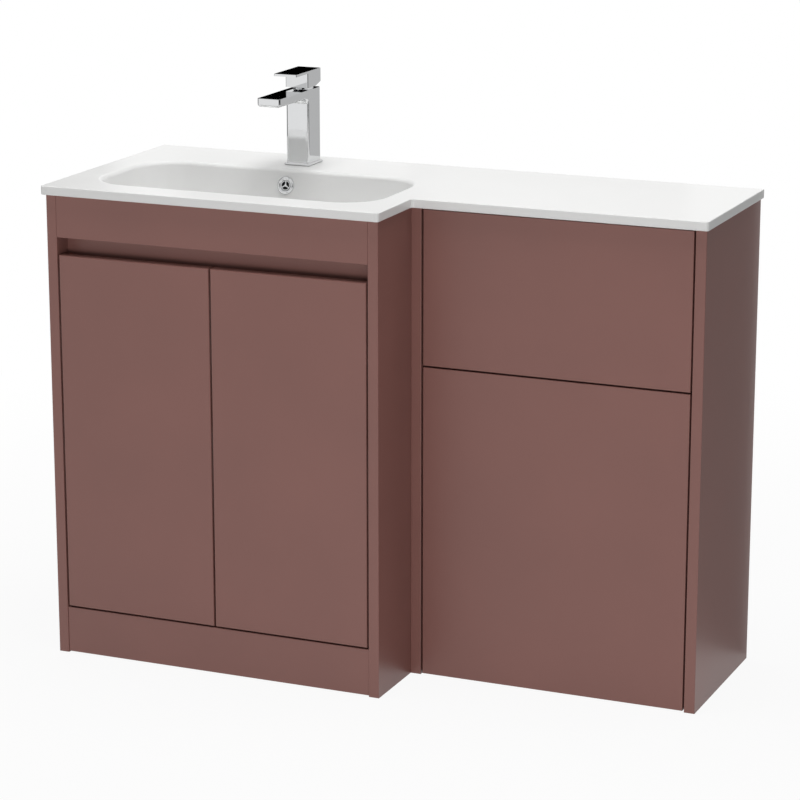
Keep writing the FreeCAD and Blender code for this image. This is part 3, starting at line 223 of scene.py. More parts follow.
@dataclass(frozen=True)
class SatinPaint(Finish):
    """Satin lacquer sprayed on MDF."""

    slot: ClassVar[str] = "painted_board"
    title: ClassVar[str] = "sprayed_satin_paint"
    colour: str = "#865D56"
    core: str = "#A98C67"
    ior: float = 1.5
    roughness: tuple[float, float] = (0.37, 0.43)
    cloud_mm: float = 180.0
    cloud_span: tuple[float, float] = (0.3, 0.7)
    thick_coat: float = 0.965
    thin_coat: float = 1.035
    fibre_mm: float = 1.2
    dark_fibre: float = 0.72
    back_edge_mm: float = 219.6
    peel_mm: float = 5.0
    peel_depth_mm: float = 0.4
    peel_strength: float = 0.06

    def surface(self, tree: Tree, shader: Node, place: Socket) -> None:
        """Gives an even coat with a soft sheen, a faint orange peel and a bare MDF back edge.

        Args:
            tree: the material's node tree.
            shader: the principled shader of the material.
            place: the output socket with the piece's own coordinates in metres.
        """
        # To the eye an even colour with blurred, broad reflections
        shader.inputs["IOR"].default_value = self.ior
        # The coat's thickness wanders a little across a board
        cloud = add_node(tree, "TexNoise", {"Scale": per_metre(self.cloud_mm), "Detail": 3.0},
                         {"Vector": place})
        low, high = self.cloud_span
        coat = add_node(tree, "ValToRGB", {"stops": ((low, linear(self.colour, self.thick_coat)),
                                                     (high, linear(self.colour, self.thin_coat)))},
                        {"Fac": cloud.outputs["Fac"]})
        # The unpainted edge against the wall shows the fibre board
        fibre = add_node(tree, "TexNoise", {"Scale": per_metre(self.fibre_mm), "Detail": 6.0},
                         {"Vector": place})
        bare = add_node(tree, "ValToRGB", {"stops": ((0.0, linear(self.core, self.dark_fibre)),
                                                     (1.0, linear(self.core)))},
                        {"Fac": fibre.outputs["Fac"]})
        split = add_node(tree, "SeparateXYZ", links={"Vector": place})
        at_back = add_node(tree, "Math", {"operation": "GREATER_THAN", 1: mm(self.back_edge_mm)},
                           {0: split.outputs["Y"]})
        colour = add_node(tree, "Mix", {"data_type": "RGBA"},
                          {"Factor": at_back.outputs[0], 6: coat.outputs["Color"], 7: bare.outputs["Color"]})
        tree.links.new(colour.outputs[2], shader.inputs["Base Color"])
        smooth, dull = self.roughness
        sheen = add_node(tree, "MapRange", {"To Min": smooth, "To Max": dull},
                         {"Value": cloud.outputs["Fac"]})
        rough = add_node(tree, "Math", {"operation": "MAXIMUM"},
                         {0: sheen.outputs[0], 1: at_back.outputs[0]})
        tree.links.new(rough.outputs[0], shader.inputs["Roughness"])
        # Real orange peel repeats every 2 mm or so, drawn coarser so that it shows
        peel = add_node(tree, "TexNoise", {"Scale": per_metre(self.peel_mm), "Detail": 2.0},
                        {"Vector": place})
        bump = add_node(tree, "Bump", {"Strength": self.peel_strength, "Distance": mm(self.peel_depth_mm)},
                        {"Height": peel.outputs["Fac"]})
        tree.links.new(bump.outputs[0], shader.inputs["Normal"])


@dataclass(frozen=True)
class FoiledBoard(Finish):
    """Matt foil on chipboard, with the cut core bare at the back or on the long edges."""

    slot: ClassVar[str] = "plain_board"
    raw: RawEdge = RawEdge.BACK
    colour: str = "#7B5A54"
    core: str = "#B39469"
    ior: float = 1.48
    roughness: tuple[float, float] = (0.5, 0.62)
    dark_print: float = 0.93
    pale_print: float = 1.05
    chip_mm: float = 3.0
    dark_chip: float = 0.45
    square_on: float = 0.9
    emboss_mm: float = 1.6
    emboss_depth_mm: float = 0.3
    emboss_strength: float = 0.12

    @property
    def name(self) -> str:
        """Names the material for its bare faces."""
        return f"matt_foil_board_{self.raw.value}"

    def surface(self, tree: Tree, shader: Node, place: Socket) -> None:
        """Gives a dull printed foil with a fine emboss, and chips in the cut edge.

        Args:
            tree: the material's node tree.
            shader: the principled shader of the material.
            place: the output socket with the piece's own coordinates in metres.
        """
        # To the eye a flat brown without reflections, and pale speckled wood where it was sawn
        shader.inputs["IOR"].default_value = self.ior
        # A real emboss repeats every 0.3 mm or so, drawn coarser so that it shows
        grain = add_node(tree, "TexNoise", {"Scale": per_metre(self.emboss_mm), "Detail": 4.0},
                         {"Vector": place})
        foil = add_node(tree, "ValToRGB", {"stops": ((0.0, linear(self.colour, self.dark_print)),
                                                     (1.0, linear(self.colour, self.pale_print)))},
                        {"Fac": grain.outputs["Fac"]})
        chips = add_node(tree, "TexVoronoi", {"Scale": per_metre(self.chip_mm), "Randomness": 1.0},
                         {"Vector": place})
        cut = add_node(tree, "ValToRGB", {"stops": ((0.0, linear(self.core)),
                                                    (1.0, linear(self.core, self.dark_chip)))},
                       {"Fac": chips.outputs["Distance"]})
        facing = add_node(tree, "SeparateXYZ", links={"Vector": add_node(tree, "TexCoord").outputs["Normal"]})
        level = facing.outputs["Y"]
        if self.raw is RawEdge.ENDS:
            level = add_node(tree, "Math", {"operation": "ABSOLUTE"}, {0: facing.outputs["Z"]}).outputs[0]
        bare = add_node(tree, "Math", {"operation": "GREATER_THAN", 1: self.square_on}, {0: level})
        colour = add_node(tree, "Mix", {"data_type": "RGBA"},
                          {"Factor": bare.outputs[0], 6: foil.outputs["Color"], 7: cut.outputs["Color"]})
        tree.links.new(colour.outputs[2], shader.inputs["Base Color"])
        smooth, dull = self.roughness
        matt = add_node(tree, "MapRange", {"To Min": smooth, "To Max": dull}, {"Value": grain.outputs["Fac"]})
        tree.links.new(matt.outputs[0], shader.inputs["Roughness"])
        bump = add_node(tree, "Bump", {"Strength": self.emboss_strength,
                                       "Distance": mm(self.emboss_depth_mm)},
                        {"Height": grain.outputs["Fac"]})
        tree.links.new(bump.outputs[0], shader.inputs["Normal"])


@dataclass(frozen=True)
class GelCoat(Finish):
    """White gel coat over cast marble resin."""

    slot: ClassVar[str] = "cast_top"
    title: ClassVar[str] = "white_gel_coat"
    colour: str = "#E7E7E6"
    ior: float = 1.5
    roughness: tuple[float, float] = (0.26, 0.34)
    cloud_mm: float = 60.0
    thin_gel: float = 0.985
    ripple_mm: float = 35.0
    ripple_depth_mm: float = 0.5
    ripple_strength: float = 0.03

    def surface(self, tree: Tree, shader: Node, place: Socket) -> None:
        """Gives a clean white with a soft gloss and the slight ripple of a casting.

        Args:
            tree: the material's node tree.
            shader: the principled shader of the material.
            place: the output socket with the piece's own coordinates in metres.
        """
        # To the eye a cool white whose soft highlights waver a little
        shader.inputs["IOR"].default_value = self.ior
        cloud = add_node(tree, "TexNoise", {"Scale": per_metre(self.cloud_mm), "Detail": 4.0},
                         {"Vector": place})
        tint = add_node(tree, "ValToRGB", {"stops": ((0.0, linear(self.colour, self.thin_gel)),
                                                     (1.0, linear(self.colour)))},
                        {"Fac": cloud.outputs["Fac"]})
        tree.links.new(tint.outputs["Color"], shader.inputs["Base Color"])
        smooth, dull = self.roughness
        gloss = add_node(tree, "MapRange", {"To Min": smooth, "To Max": dull},
                         {"Value": cloud.outputs["Fac"]})
        tree.links.new(gloss.outputs[0], shader.inputs["Roughness"])
        ripple = add_node(tree, "TexNoise", {"Scale": per_metre(self.ripple_mm), "Detail": 1.0},
                          {"Vector": place})
        bump = add_node(tree, "Bump", {"Strength": self.ripple_strength,
                                       "Distance": mm(self.ripple_depth_mm)},
                        {"Height": ripple.outputs["Fac"]})
        tree.links.new(bump.outputs[0], shader.inputs["Normal"])


@dataclass(frozen=True)
class PolishedChrome(Finish):
    """Bright chrome plate on polished brass."""

    slot: ClassVar[str] = "chrome"
    title: ClassVar[str] = "polished_chrome_plate"
    colour: str = "#DCDDDE"
    roughness: tuple[float, float] = (0.025, 0.06)
    wipe_mm: float = 14.0
    wiped_dull: float = 0.97

    def surface(self, tree: Tree, shader: Node, place: Socket) -> None:
        """Gives a mirror with the faint haze that a drying cloth leaves.

        Args:
            tree: the material's node tree.
            shader: the principled shader of the material.
            place: the output socket with the piece's own coordinates in metres.
        """
        # To the eye a clear mirror, black and white as the room is, softened in patches
        shader.inputs["Metallic"].default_value = 1.0
        wipe = add_node(tree, "TexNoise", {"Scale": per_metre(self.wipe_mm), "Detail": 5.0},
                        {"Vector": place})
        tint = add_node(tree, "ValToRGB", {"stops": ((0.0, linear(self.colour, self.wiped_dull)),
                                                     (1.0, linear(self.colour)))},
                        {"Fac": wipe.outputs["Fac"]})
        tree.links.new(tint.outputs["Color"], shader.inputs["Base Color"])
        smooth, dull = self.roughness
        haze = add_node(tree, "MapRange", {"To Min": smooth, "To Max": dull}, {"Value": wipe.outputs["Fac"]})
        tree.links.new(haze.outputs[0], shader.inputs["Roughness"])


@dataclass(frozen=True)
class ZincPlate(Finish):
    """Bright zinc plate on pressed steel."""

    slot: ClassVar[str] = "zinc_steel"
    title: ClassVar[str] = "bright_zinc_plate"
    colour: str = "#BFC3C6"
    shade: str = "#B4B9BC"
    roughness: tuple[float, float] = (0.27, 0.33)
    spangle_mm: float = 1.2

    def surface(self, tree: Tree, shader: Node, place: Socket) -> None:
        """Gives a cool metal with the small crystals of zinc.

        Args:
            tree: the material's node tree.
            shader: the principled shader of the material.
            place: the output socket with the piece's own coordinates in metres.
        """
        # To the eye a bluish grey metal with a silky shine
        shader.inputs["Metallic"].default_value = 1.0
        # The crystals of a thin plate are far finer, drawn coarser so that they show
        spangle = add_node(tree, "TexVoronoi", {"Scale": per_metre(self.spangle_mm)}, {"Vector": place})
        tint = add_node(tree, "ValToRGB", {"stops": ((0.0, linear(self.shade)), (1.0, linear(self.colour)))},
                        {"Fac": spangle.outputs["Color"]})
        tree.links.new(tint.outputs["Color"], shader.inputs["Base Color"])
        smooth, dull = self.roughness
        silk = add_node(tree, "MapRange", {"To Min": smooth, "To Max": dull},
                        {"Value": spangle.outputs["Color"]})
        tree.links.new(silk.outputs[0], shader.inputs["Roughness"])


@dataclass(frozen=True)
class TurnedBrass(Finish):
    """Brass as it leaves the lathe."""

    slot: ClassVar[str] = "brass"
    title: ClassVar[str] = "turned_brass"
    colour: str = "#C9A85A"
    shade: str = "#A98A45"
    roughness: tuple[float, float] = (0.22, 0.36)
    feed_mm: float = 1.58

    def surface(self, tree: Tree, shader: Node, place: Socket) -> None:
        """Gives fine feed rings round the turning axis.

        Args:
            tree: the material's node tree.
            shader: the principled shader of the material.
            place: the output socket with the piece's own coordinates in metres.
        """
        # To the eye a warm yellow metal with fine bright rings
        shader.inputs["Metallic"].default_value = 1.0
        # A lathe's feed is 0.2 mm or so, drawn coarser so that it shows
        rings = add_node(tree, "TexWave", {"Scale": per_metre(self.feed_mm) * math.tau / WAVE_RADIANS,
                                           "Distortion": 0.4, "bands_direction": "Z"}, {"Vector": place})
        tint = add_node(tree, "ValToRGB", {"stops": ((0.0, linear(self.shade)), (1.0, linear(self.colour)))},
                        {"Fac": rings.outputs["Fac"]})
        tree.links.new(tint.outputs["Color"], shader.inputs["Base Color"])
        smooth, dull = self.roughness
        shine = add_node(tree, "MapRange", {"To Min": smooth, "To Max": dull},
                         {"Value": rings.outputs["Fac"]})
        tree.links.new(shine.outputs[0], shader.inputs["Roughness"])


@dataclass(frozen=True)
class SealRubber(Finish):
    """Moulded black EPDM rubber."""

    slot: ClassVar[str] = "rubber"
    title: ClassVar[str] = "moulded_seal_rubber"
    colour: str = "#1D1D1E"
    bloom: str = "#2C2C2D"
    ior: float = 1.52
    roughness: tuple[float, float] = (0.6, 0.8)
    bloom_mm: float = 6.0

    def surface(self, tree: Tree, shader: Node, place: Socket) -> None:
        """Gives a dull black with a pale bloom.

        Args:
            tree: the material's node tree.
            shader: the principled shader of the material.
            place: the output socket with the piece's own coordinates in metres.
        """
        # To the eye a soft black that is greyer in patches
        shader.inputs["IOR"].default_value = self.ior
        bloom = add_node(tree, "TexNoise", {"Scale": per_metre(self.bloom_mm), "Detail": 5.0},
                         {"Vector": place})
        tint = add_node(tree, "ValToRGB", {"stops": ((0.0, linear(self.colour)), (1.0, linear(self.bloom)))},
                        {"Fac": bloom.outputs["Fac"]})
        tree.links.new(tint.outputs["Color"], shader.inputs["Base Color"])
        smooth, dull = self.roughness
        matt = add_node(tree, "MapRange", {"To Min": smooth, "To Max": dull}, {"Value": bloom.outputs["Fac"]})
        tree.links.new(matt.outputs[0], shader.inputs["Roughness"])


@dataclass(frozen=True)
class MouldedPlastic(Finish):
    """Pale grey moulded polypropylene."""

    slot: ClassVar[str] = "plastic"
    title: ClassVar[str] = "moulded_polypropylene"
    colour: str = "#CFCFCC"
    shade: str = "#BDBDBA"
    ior: float = 1.49
    roughness: tuple[float, float] = (0.36, 0.5)
    spark_mm: float = 0.9
    spark_depth_mm: float = 0.1
    spark_strength: float = 0.1

    def surface(self, tree: Tree, shader: Node, place: Socket) -> None:
        """Gives the fine spark texture of an injection mould.

        Args:
            tree: the material's node tree.
            shader: the principled shader of the material.
            place: the output socket with the piece's own coordinates in metres.
        """
        # To the eye a waxy pale grey with a fine tooth
        shader.inputs["IOR"].default_value = self.ior
        # A mould's spark texture is 0.2 mm or so, drawn coarser so that it shows
        spark = add_node(tree, "TexNoise", {"Scale": per_metre(self.spark_mm), "Detail": 3.0},
                         {"Vector": place})
        tint = add_node(tree, "ValToRGB", {"stops": ((0.0, linear(self.shade)), (1.0, linear(self.colour)))},
                        {"Fac": spark.outputs["Fac"]})
        tree.links.new(tint.outputs["Color"], shader.inputs["Base Color"])
        smooth, dull = self.roughness
        waxy = add_node(tree, "MapRange", {"To Min": smooth, "To Max": dull}, {"Value": spark.outputs["Fac"]})
        tree.links.new(waxy.outputs[0], shader.inputs["Roughness"])
        bump = add_node(tree, "Bump", {"Strength": self.spark_strength, "Distance": mm(self.spark_depth_mm)},
                        {"Height": spark.outputs["Fac"]})
        tree.links.new(bump.outputs[0], shader.inputs["Normal"])


def islands(node: bpy.types.Object) -> list[list[Vector]]:
    """Splits a node into its separate solids.

    Args:
        node: the node's object.

    Returns:
        The corner points of each solid.
    """
    mesh = bmesh.new()
    mesh.from_mesh(node.data)
    bmesh.ops.remove_doubles(mesh, verts=mesh.verts, dist=WELD)
    left = set(mesh.verts)
    groups = []
    while left:
        waiting, group = [left.pop()], []
        while waiting:
            vert = waiting.pop()
            group.append(vert.co.copy())
            near = {edge.other_vert(vert) for edge in vert.link_edges} & left
            left -= near
            waiting.extend(near)
        groups.append(group)
    mesh.free()
    return groups


def turn(mesh: Mesh, profile: list[tuple[float, float]], steps: int) -> list[list[bmesh.types.BMVert]]:
    """Turns a profile round the Z axis.

    Args:
        mesh: the mesh to add to.
        profile: radius and height of each point, none on the axis.
        steps: corners round the axis.

    Returns:
        The rings of corners, one for each point of the profile.
    """
    angles = [math.tau * step / steps for step in range(steps)]
    rings = []
    for radius, height in profile:
        rings.append([mesh.verts.new((radius * math.cos(a), radius * math.sin(a), height)) for a in angles])
    for one, two in zip(rings, rings[1:]):
        for k in range(steps):
            after = (k + 1) % steps
            mesh.faces.new((one[k], two[k], two[after], one[after]))
    return rings


def standing(seat: Vector, out: Vector) -> Matrix:
    """Gives the place of a turned piece.

    Args:
        seat: where the piece's own origin goes.
        out: the way that its Z axis points.

    Returns:
        The matrix that takes the piece there.
    """
    return Matrix.Translation(seat) @ out.to_track_quat("Z", "Y").to_matrix().to_4x4()


def make_piece(name: str, mesh: Mesh, finish: Finish, body: str) -> bpy.types.Object:
    """Makes an object of a finished mesh and sets it on a body.

    Args:
        name: name of the piece.
        mesh: the mesh, which is freed.
        finish: its finish.
        body: the body that carries it.

    Returns:
        The new object.
    """
    bmesh.ops.recalc_face_normals(mesh, faces=mesh.faces)
    data = bpy.data.meshes.new(name)
    mesh.to_mesh(data)
    mesh.free()
    data.set_sharp_from_angle(angle=SHARP_ANGLE)
    data.materials.append(finish.material())
    piece = add_object(name, data)
    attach(piece, body)
    LOG.info("%s: new piece in %s", name, finish.name)
    return piece


@dataclass
class Thread:
    """A helical ridge on a round core."""

    core: float
    crest: float
    pitch: float
    steps: int
    ridge_share: float = 0.9

    def wind(self, mesh: Mesh, low: float, high: float) -> None:
        """Winds the ridge round the Z axis, with a flat root between its turns.

        Args:
            mesh: the mesh to add to.
            low: height where the ridge starts.
            high: height where the ridge ends.
        """
        count = int((high - low - self.pitch) / self.pitch * self.steps)
        width = self.pitch * self.ridge_share
        rows = []
        for step in range(count + 1):
            angle = math.tau * step / self.steps
            base = low + self.pitch * step / self.steps
            spots = ((self.core, base), (self.crest, base + width / 2), (self.core, base + width))
            rows.append([mesh.verts.new((r * math.cos(angle), r * math.sin(angle), z)) for r, z in spots])
        for one, two in zip(rows, rows[1:]):
            for k in range(len(one)):
                after = (k + 1) % len(one)
                mesh.faces.new((one[k], one[after], two[after], two[k]))
        mesh.faces.new(rows[0])
        mesh.faces.new(rows[-1])


@dataclass
class CrossHeadScrew:
    """A domed furniture screw with a tapered cross recess and a coarse thread."""

    head_radius: float = mm(3.8)
    head_height: float = mm(1.8)
    dome_shares: tuple[tuple[float, float], ...] = ((0.86, 0.86), (0.96, 0.6), (1.0, 0.3), (1.0, 0.0))
    shank: float = mm(2.0)
    wide_share: float = 1.3
    core: float = mm(1.45)
    root: float = mm(0.05)
    pitch: float = mm(1.6)
    least_turns: int = 3
    run_out: float = 0.6
    flat: float = mm(2.7)
    arm_reach: float = mm(2.2)
    arm_half: float = mm(0.45)
    recess_depth: float = mm(1.2)
    recess_taper: float = 0.55
    tip: float = mm(2.5)
    point: float = mm(0.15)
    steps: int = 24
    thread_steps: int = 16

    def cross(self, mesh: Mesh, scale: float, height: float) -> list[bmesh.types.BMVert]:
        """Draws the outline of the recess.

        Args:
            mesh: the mesh to add to.
            scale: share of the full outline.
            height: height of the outline.

        Returns:
            The outline's twelve corners in order.
        """
        reach, half = self.arm_reach * scale, self.arm_half * scale
        arm = ((reach, -half, height), (reach, half, height), (half, half, height))
        spots = []
        for quarter in range(4):
            turned = Matrix.Rotation(math.tau * quarter / 4, 4, "Z")
            spots += [turned @ Vector(spot) for spot in arm]
        return [mesh.verts.new(spot) for spot in spots]

    def add(self, mesh: Mesh, place: Matrix, length: float) -> None:
        """Adds one screw.

        Args:
            mesh: the mesh to add to.
            place: where the underside of the head goes, its Z out of the head.
            length: length under the head.
        """
        one = bmesh.new()
        radius, height = self.head_radius, self.head_height
        head = [(self.flat, height), *((radius * wide, height * tall) for wide, tall in self.dome_shares)]
        shaft = [(self.shank, 0.0), (self.core, -self.pitch), (self.core, -length + self.tip),
                 (self.point, -length)]
        rings = turn(one, head + shaft, self.steps)
        one.faces.new(rings[-1])
        mouth = self.cross(one, 1.0, height)
        floor = self.cross(one, self.recess_taper, height - self.recess_depth)
        for k in range(len(mouth)):
            after = (k + 1) % len(mouth)
            one.faces.new((mouth[k], mouth[after], floor[after], floor[k]))
        one.faces.new(floor)
        edges = [one.edges.get((ring[k], ring[(k + 1) % len(ring)])) for ring in (rings[0], mouth)
                 for k in range(len(ring))]
        bmesh.ops.triangle_fill(one, edges=edges, use_beauty=True)
        if length > self.pitch * self.least_turns:
            thread = Thread(self.core - self.root, self.shank, self.pitch, self.thread_steps)
            thread.wind(one, -length + self.tip * self.run_out, -self.pitch * self.run_out)
        one.transform(place)
        data = bpy.data.meshes.new("one_screw")
        one.to_mesh(data)
        one.free()
        mesh.from_mesh(data)
        bpy.data.meshes.remove(data)

    def fit(self, frame: Frame, node: str, body: str, finish: Finish) -> None:
        """Puts a screw in place of each plain one in a node.

        Args:
            frame: the loaded frame.
            node: name of the node.
            body: the body that carries it.
            finish: finish of the screws.
        """
        mesh = bmesh.new()
        for group in islands(frame["nodes"][node]):
            low = Vector(map(min, zip(*group)))
            high = Vector(map(max, zip(*group)))
            span, middle = high - low, (low + high) / 2
            # A screw lies along the side that isn't as wide as its head, and its head is at the wide end
            axis = max(range(3), key=lambda k: abs(span[k] - self.head_radius * 2))
            across = [k for k in range(3) if k != axis]
            wide = [spot for spot in group
                    if math.hypot(*(spot[k] - middle[k] for k in across)) > self.shank * self.wide_share]
            side = 1.0 if sum(spot[axis] for spot in wide) / len(wide) > middle[axis] else -1.0
            out = Vector([side if k == axis else 0.0 for k in range(3)])
            seat = middle + out * (span[axis] / 2 - self.head_height)
            self.add(mesh, standing(seat, out), span[axis] - self.head_height)
        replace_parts(make_piece(f"{node}_detail", mesh, finish, body), node)


@dataclass
class SubAssembly:
    """A group of nodes with the finish of each."""

    title: str
    finishes: dict[str, Finish]

    def build(self, frame: Frame) -> None:
        """Adds the pieces that only the scene has; a plain sub-assembly has none to add.

        Args:
            frame: the loaded frame, not used.
        """

    def dress(self, frame: Frame) -> None:
        """Gives each node its finish.

        Args:
            frame: the loaded frame.
        """
        for name, finish in self.finishes.items():
            frame["nodes"][name].material_slots[0].material = finish.material()
            LOG.info("%s: %s in %s", self.title, name, finish.name)


@dataclass
class ScrewedAssembly(SubAssembly):
    """A sub-assembly held by cross-head screws."""

    screw: CrossHeadScrew = field(default_factory=CrossHeadScrew)
    screw_bodies: dict[str, str] = field(default_factory=dict)

    def build(self, frame: Frame) -> None:
        """Puts the screws in.

        Args:
            frame: the loaded frame.
        """
        for node, body in self.screw_bodies.items():
            self.screw.fit(frame, node, body, self.finishes[node])


@dataclass
class Basin(SubAssembly):
    """The cast top with its overflow and waste."""

    ring_outside: float = mm(15.5)
    ring_throat: float = mm(8.5)
    ring_height: float = mm(4.0)
    ring_spigot: float = mm(12.3)
    spigot_length: float = mm(8.0)
    round_steps: int = 20
    ring_steps: int = 72
    probe_aside: float = mm(31.0)
    probe_ahead: float = mm(46.5)
    tail_root: float = mm(0.1)
    tail_crest: float = mm(0.55)
    tail_pitch: float = mm(2.3)
    tail_steps: int = 48
    nut_gap: float = mm(1.0)
    lip: float = mm(2.0)

    def ring(self, frame: Frame) -> None:
        """Turns the half-round overflow ring, square to the bowl's back wall.

        Args:
            frame: the loaded frame.
        """
        spots = [spot.co for spot in frame["nodes"]["overflow_ring"].data.vertices]
        middle = sum(spots, Vector()) / len(spots)
        # A ray to the wall beside the ring finds the wall's slope
        beside = middle + Vector((self.probe_aside, -self.probe_ahead, 0.0))
        deps = bpy.context.evaluated_depsgraph_get()
        _, _, out, _ = frame["nodes"]["basin_top"].ray_cast(beside, Vector((0.0, 1.0, 0.0)), depsgraph=deps)
        crest = max((spot - middle).dot(out) for spot in spots)
        centre = (self.ring_outside + self.ring_throat) / 2
        half = (self.ring_outside - self.ring_throat) / 2
        angles = [math.pi * step / self.round_steps for step in range(self.round_steps + 1)]
        profile = [(centre + half * math.cos(a), self.ring_height * math.sin(a)) for a in angles]
        profile += [(self.ring_throat, -self.spigot_length), (self.ring_spigot, -self.spigot_length),
                    (self.ring_spigot, 0.0), profile[0]]
        mesh = bmesh.new()
        turn(mesh, profile, self.ring_steps)
        bmesh.ops.remove_doubles(mesh, verts=mesh.verts, dist=WELD)
        mesh.transform(standing(middle + out * (crest - self.ring_height), out))
        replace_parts(make_piece("overflow_ring_detail", mesh, self.finishes["overflow_ring"], "cabinet"),
                    "overflow_ring")

    def tail_thread(self, frame: Frame) -> None:
        """Cuts the thread on the waste's tail, below the back nut.

        Args:
            frame: the loaded frame.
        """
        low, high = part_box("waste_body")
        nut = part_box("waste_back_nut")[0].z
        middle = (Vector(low) + Vector(high)) / 2
        bottom = low[2] + self.lip
        spots = [spot.co for spot in frame["nodes"]["waste_body"].data.vertices if spot.co.z < bottom]
        radius = max(math.hypot(spot.x - middle.x, spot.y - middle.y) for spot in spots)
        mesh = bmesh.new()
        thread = Thread(radius - self.tail_root, radius + self.tail_crest, self.tail_pitch, self.tail_steps)
        thread.wind(mesh, bottom, nut - self.nut_gap)
        mesh.transform(Matrix.Translation((middle.x, middle.y, 0.0)))
        make_piece("waste_tail_thread", mesh, self.finishes["waste_body"], "cabinet")

    def build(self, frame: Frame) -> None:
        """Adds the overflow's ring and the thread of the waste.

        Args:
            frame: the loaded frame.
        """
        self.ring(frame)
        self.tail_thread(frame)


@dataclass
class Tap(SubAssembly):
    """The lever tap with its fixing under the top."""

    stud_core: float = mm(3.3)
    stud_root: float = mm(0.05)
    stud_crest: float = mm(4.0)
    stud_pitch: float = mm(1.25)
    stud_steps: int = 32
    chamfer: float = mm(1.0)
    gauze_bar: float = mm(0.5)
    gauze_rise: float = mm(0.4)
    gauze_pitch: float = mm(1.6)
    gauze_radius: float = mm(7.75)
    gauze_lift: float = mm(1.2)

    def stud(self) -> None:
        """Turns the threaded fixing stud."""
        low, high = (Vector(corner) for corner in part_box("tap_fixing_stud"))
        middle = (low + high) / 2
        narrow = self.stud_core - self.chamfer
        mesh = bmesh.new()
        rings = turn(mesh, [(narrow, low.z), (self.stud_core, low.z + self.chamfer),
                            (self.stud_core, high.z - self.chamfer), (narrow, high.z)], self.stud_steps)
        mesh.faces.new(rings[0])
        mesh.faces.new(rings[-1])
        thread = Thread(self.stud_core - self.stud_root, self.stud_crest, self.stud_pitch, self.stud_steps)
        thread.wind(mesh, low.z + self.chamfer / 2, high.z - self.chamfer / 2)
        mesh.transform(Matrix.Translation((middle.x, middle.y, 0.0)))
        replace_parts(make_piece("tap_stud_thread", mesh, self.finishes["tap_fixing_stud"], "cabinet"),
                    "tap_fixing_stud")

    def gauze(self) -> None:
        """Sets the grid of the aerator in its mouth, in two layers of crossed bars."""
        low, high = (Vector(corner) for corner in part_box("tap_aerator"))
        middle = (low + high) / 2
        count = int(self.gauze_radius / self.gauze_pitch)
        mesh = bmesh.new()
        for layer in range(2):
            height = low.z + self.gauze_lift + layer * self.gauze_rise
            turned = Matrix.Rotation(math.radians(90.0 * layer), 4, "Z")
            place = Matrix.Translation((middle.x, middle.y, height)) @ turned
            for k in range(-count, count + 1):
                offset = k * self.gauze_pitch
                reach = math.sqrt(self.gauze_radius ** 2 - offset ** 2)
                size = Matrix.Diagonal((reach * 2, self.gauze_bar, self.gauze_bar, 1.0))
                beside = Matrix.Translation((0.0, offset, 0.0))
                bmesh.ops.create_cube(mesh, size=1.0, matrix=place @ beside @ size)
        make_piece("aerator_gauze", mesh, self.finishes["tap_aerator"], "cabinet")

    def build(self, frame: Frame) -> None:
        """Adds the stud's thread and the aerator's grid.

        Args:
            frame: the loaded frame, not used.
        """
        self.stud()
        self.gauze()


def aim(item: bpy.types.Object, place: Point, ahead: Vector) -> None:
    """Stands a camera or a lamp at a place and points it.

    Args:
        item: the camera or lamp.
        place: where it stands.
        ahead: the way that it looks.
    """
    item.location = place
    item.rotation_mode = "QUATERNION"
    item.rotation_quaternion = ahead.to_track_quat("-Z", "Y")


def flat_sheet(name: str, corners: list[Point], material: bpy.types.Material) -> bpy.types.Object:
    """Makes a flat sheet for the studio.

    Args:
        name: name of the sheet.
        corners: its four corners in order.
        material: its material.

    Returns:
        The sheet's object.
    """
    mesh = bpy.data.meshes.new(name)
    mesh.from_pydata(corners, [], [(0, 1, 2, 3)])
    mesh.materials.append(material)
    return add_object(name, mesh)


@dataclass
class Viewpoint:
    """The camera, at the photograph's viewing angle."""

    place: Point = (1.8671, -4.3720, 1.6926)
    azimuth: float = 23.143
    elevation: float = 14.614
    lens_mm: float = 131.67
    sensor_mm: float = 36.0
    far_limit: float = 100.0

    def build(self) -> None:
        """Makes the camera and sets it as the scene's own."""
        data = bpy.data.cameras.new("viewpoint")
        data.lens = self.lens_mm
        data.sensor_width = self.sensor_mm
        data.clip_end = self.far_limit
        camera = add_object("viewpoint", data)
        across, rise = math.radians(self.azimuth), math.radians(self.elevation)
        back = Vector((math.sin(across) * math.cos(rise), -math.cos(across) * math.cos(rise), math.sin(rise)))
        aim(camera, self.place, -back)
        bpy.context.scene.camera = camera


@dataclass
class Softbox:
    """A large flat lamp aimed at a point of the object."""

    name: str
    place: Point
    target: Point
    size: tuple[float, float]
    watts: float

    def build(self) -> None:
        """Hangs the lamp."""
        data = bpy.data.lights.new(self.name, "AREA")
        data.shape = "RECTANGLE"
        data.size, data.size_y = self.size
        data.energy = self.watts
        lamp = add_object(self.name, data)
        aim(lamp, self.place, Vector(self.target) - Vector(self.place))
        lamp.visible_glossy = False


@dataclass
class Card:
    """An upright card that only mirrors see, to shape the reflections in the chrome and the satin paint."""

    name: str
    low: Point
    high: Point
    glow: float

    def build(self) -> None:
        """Stands the card in the studio."""
        material = blank_material(f"{self.name}_face")
        tree = material.node_tree
        face = add_node(tree, "Emission", {"Strength": self.glow})
        add_node(tree, "OutputMaterial", links={"Surface": face.outputs[0]})
        (x0, y0, z0), (x1, y1, z1) = self.low, self.high
        corners = [(x0, y0, z0), (x1, y1, z0), (x1, y1, z1), (x0, y0, z1)]
        card = flat_sheet(self.name, corners, material)
        for ray in ("camera", "diffuse", "transmission", "volume_scatter", "shadow"):
            setattr(card, f"visible_{ray}", False)


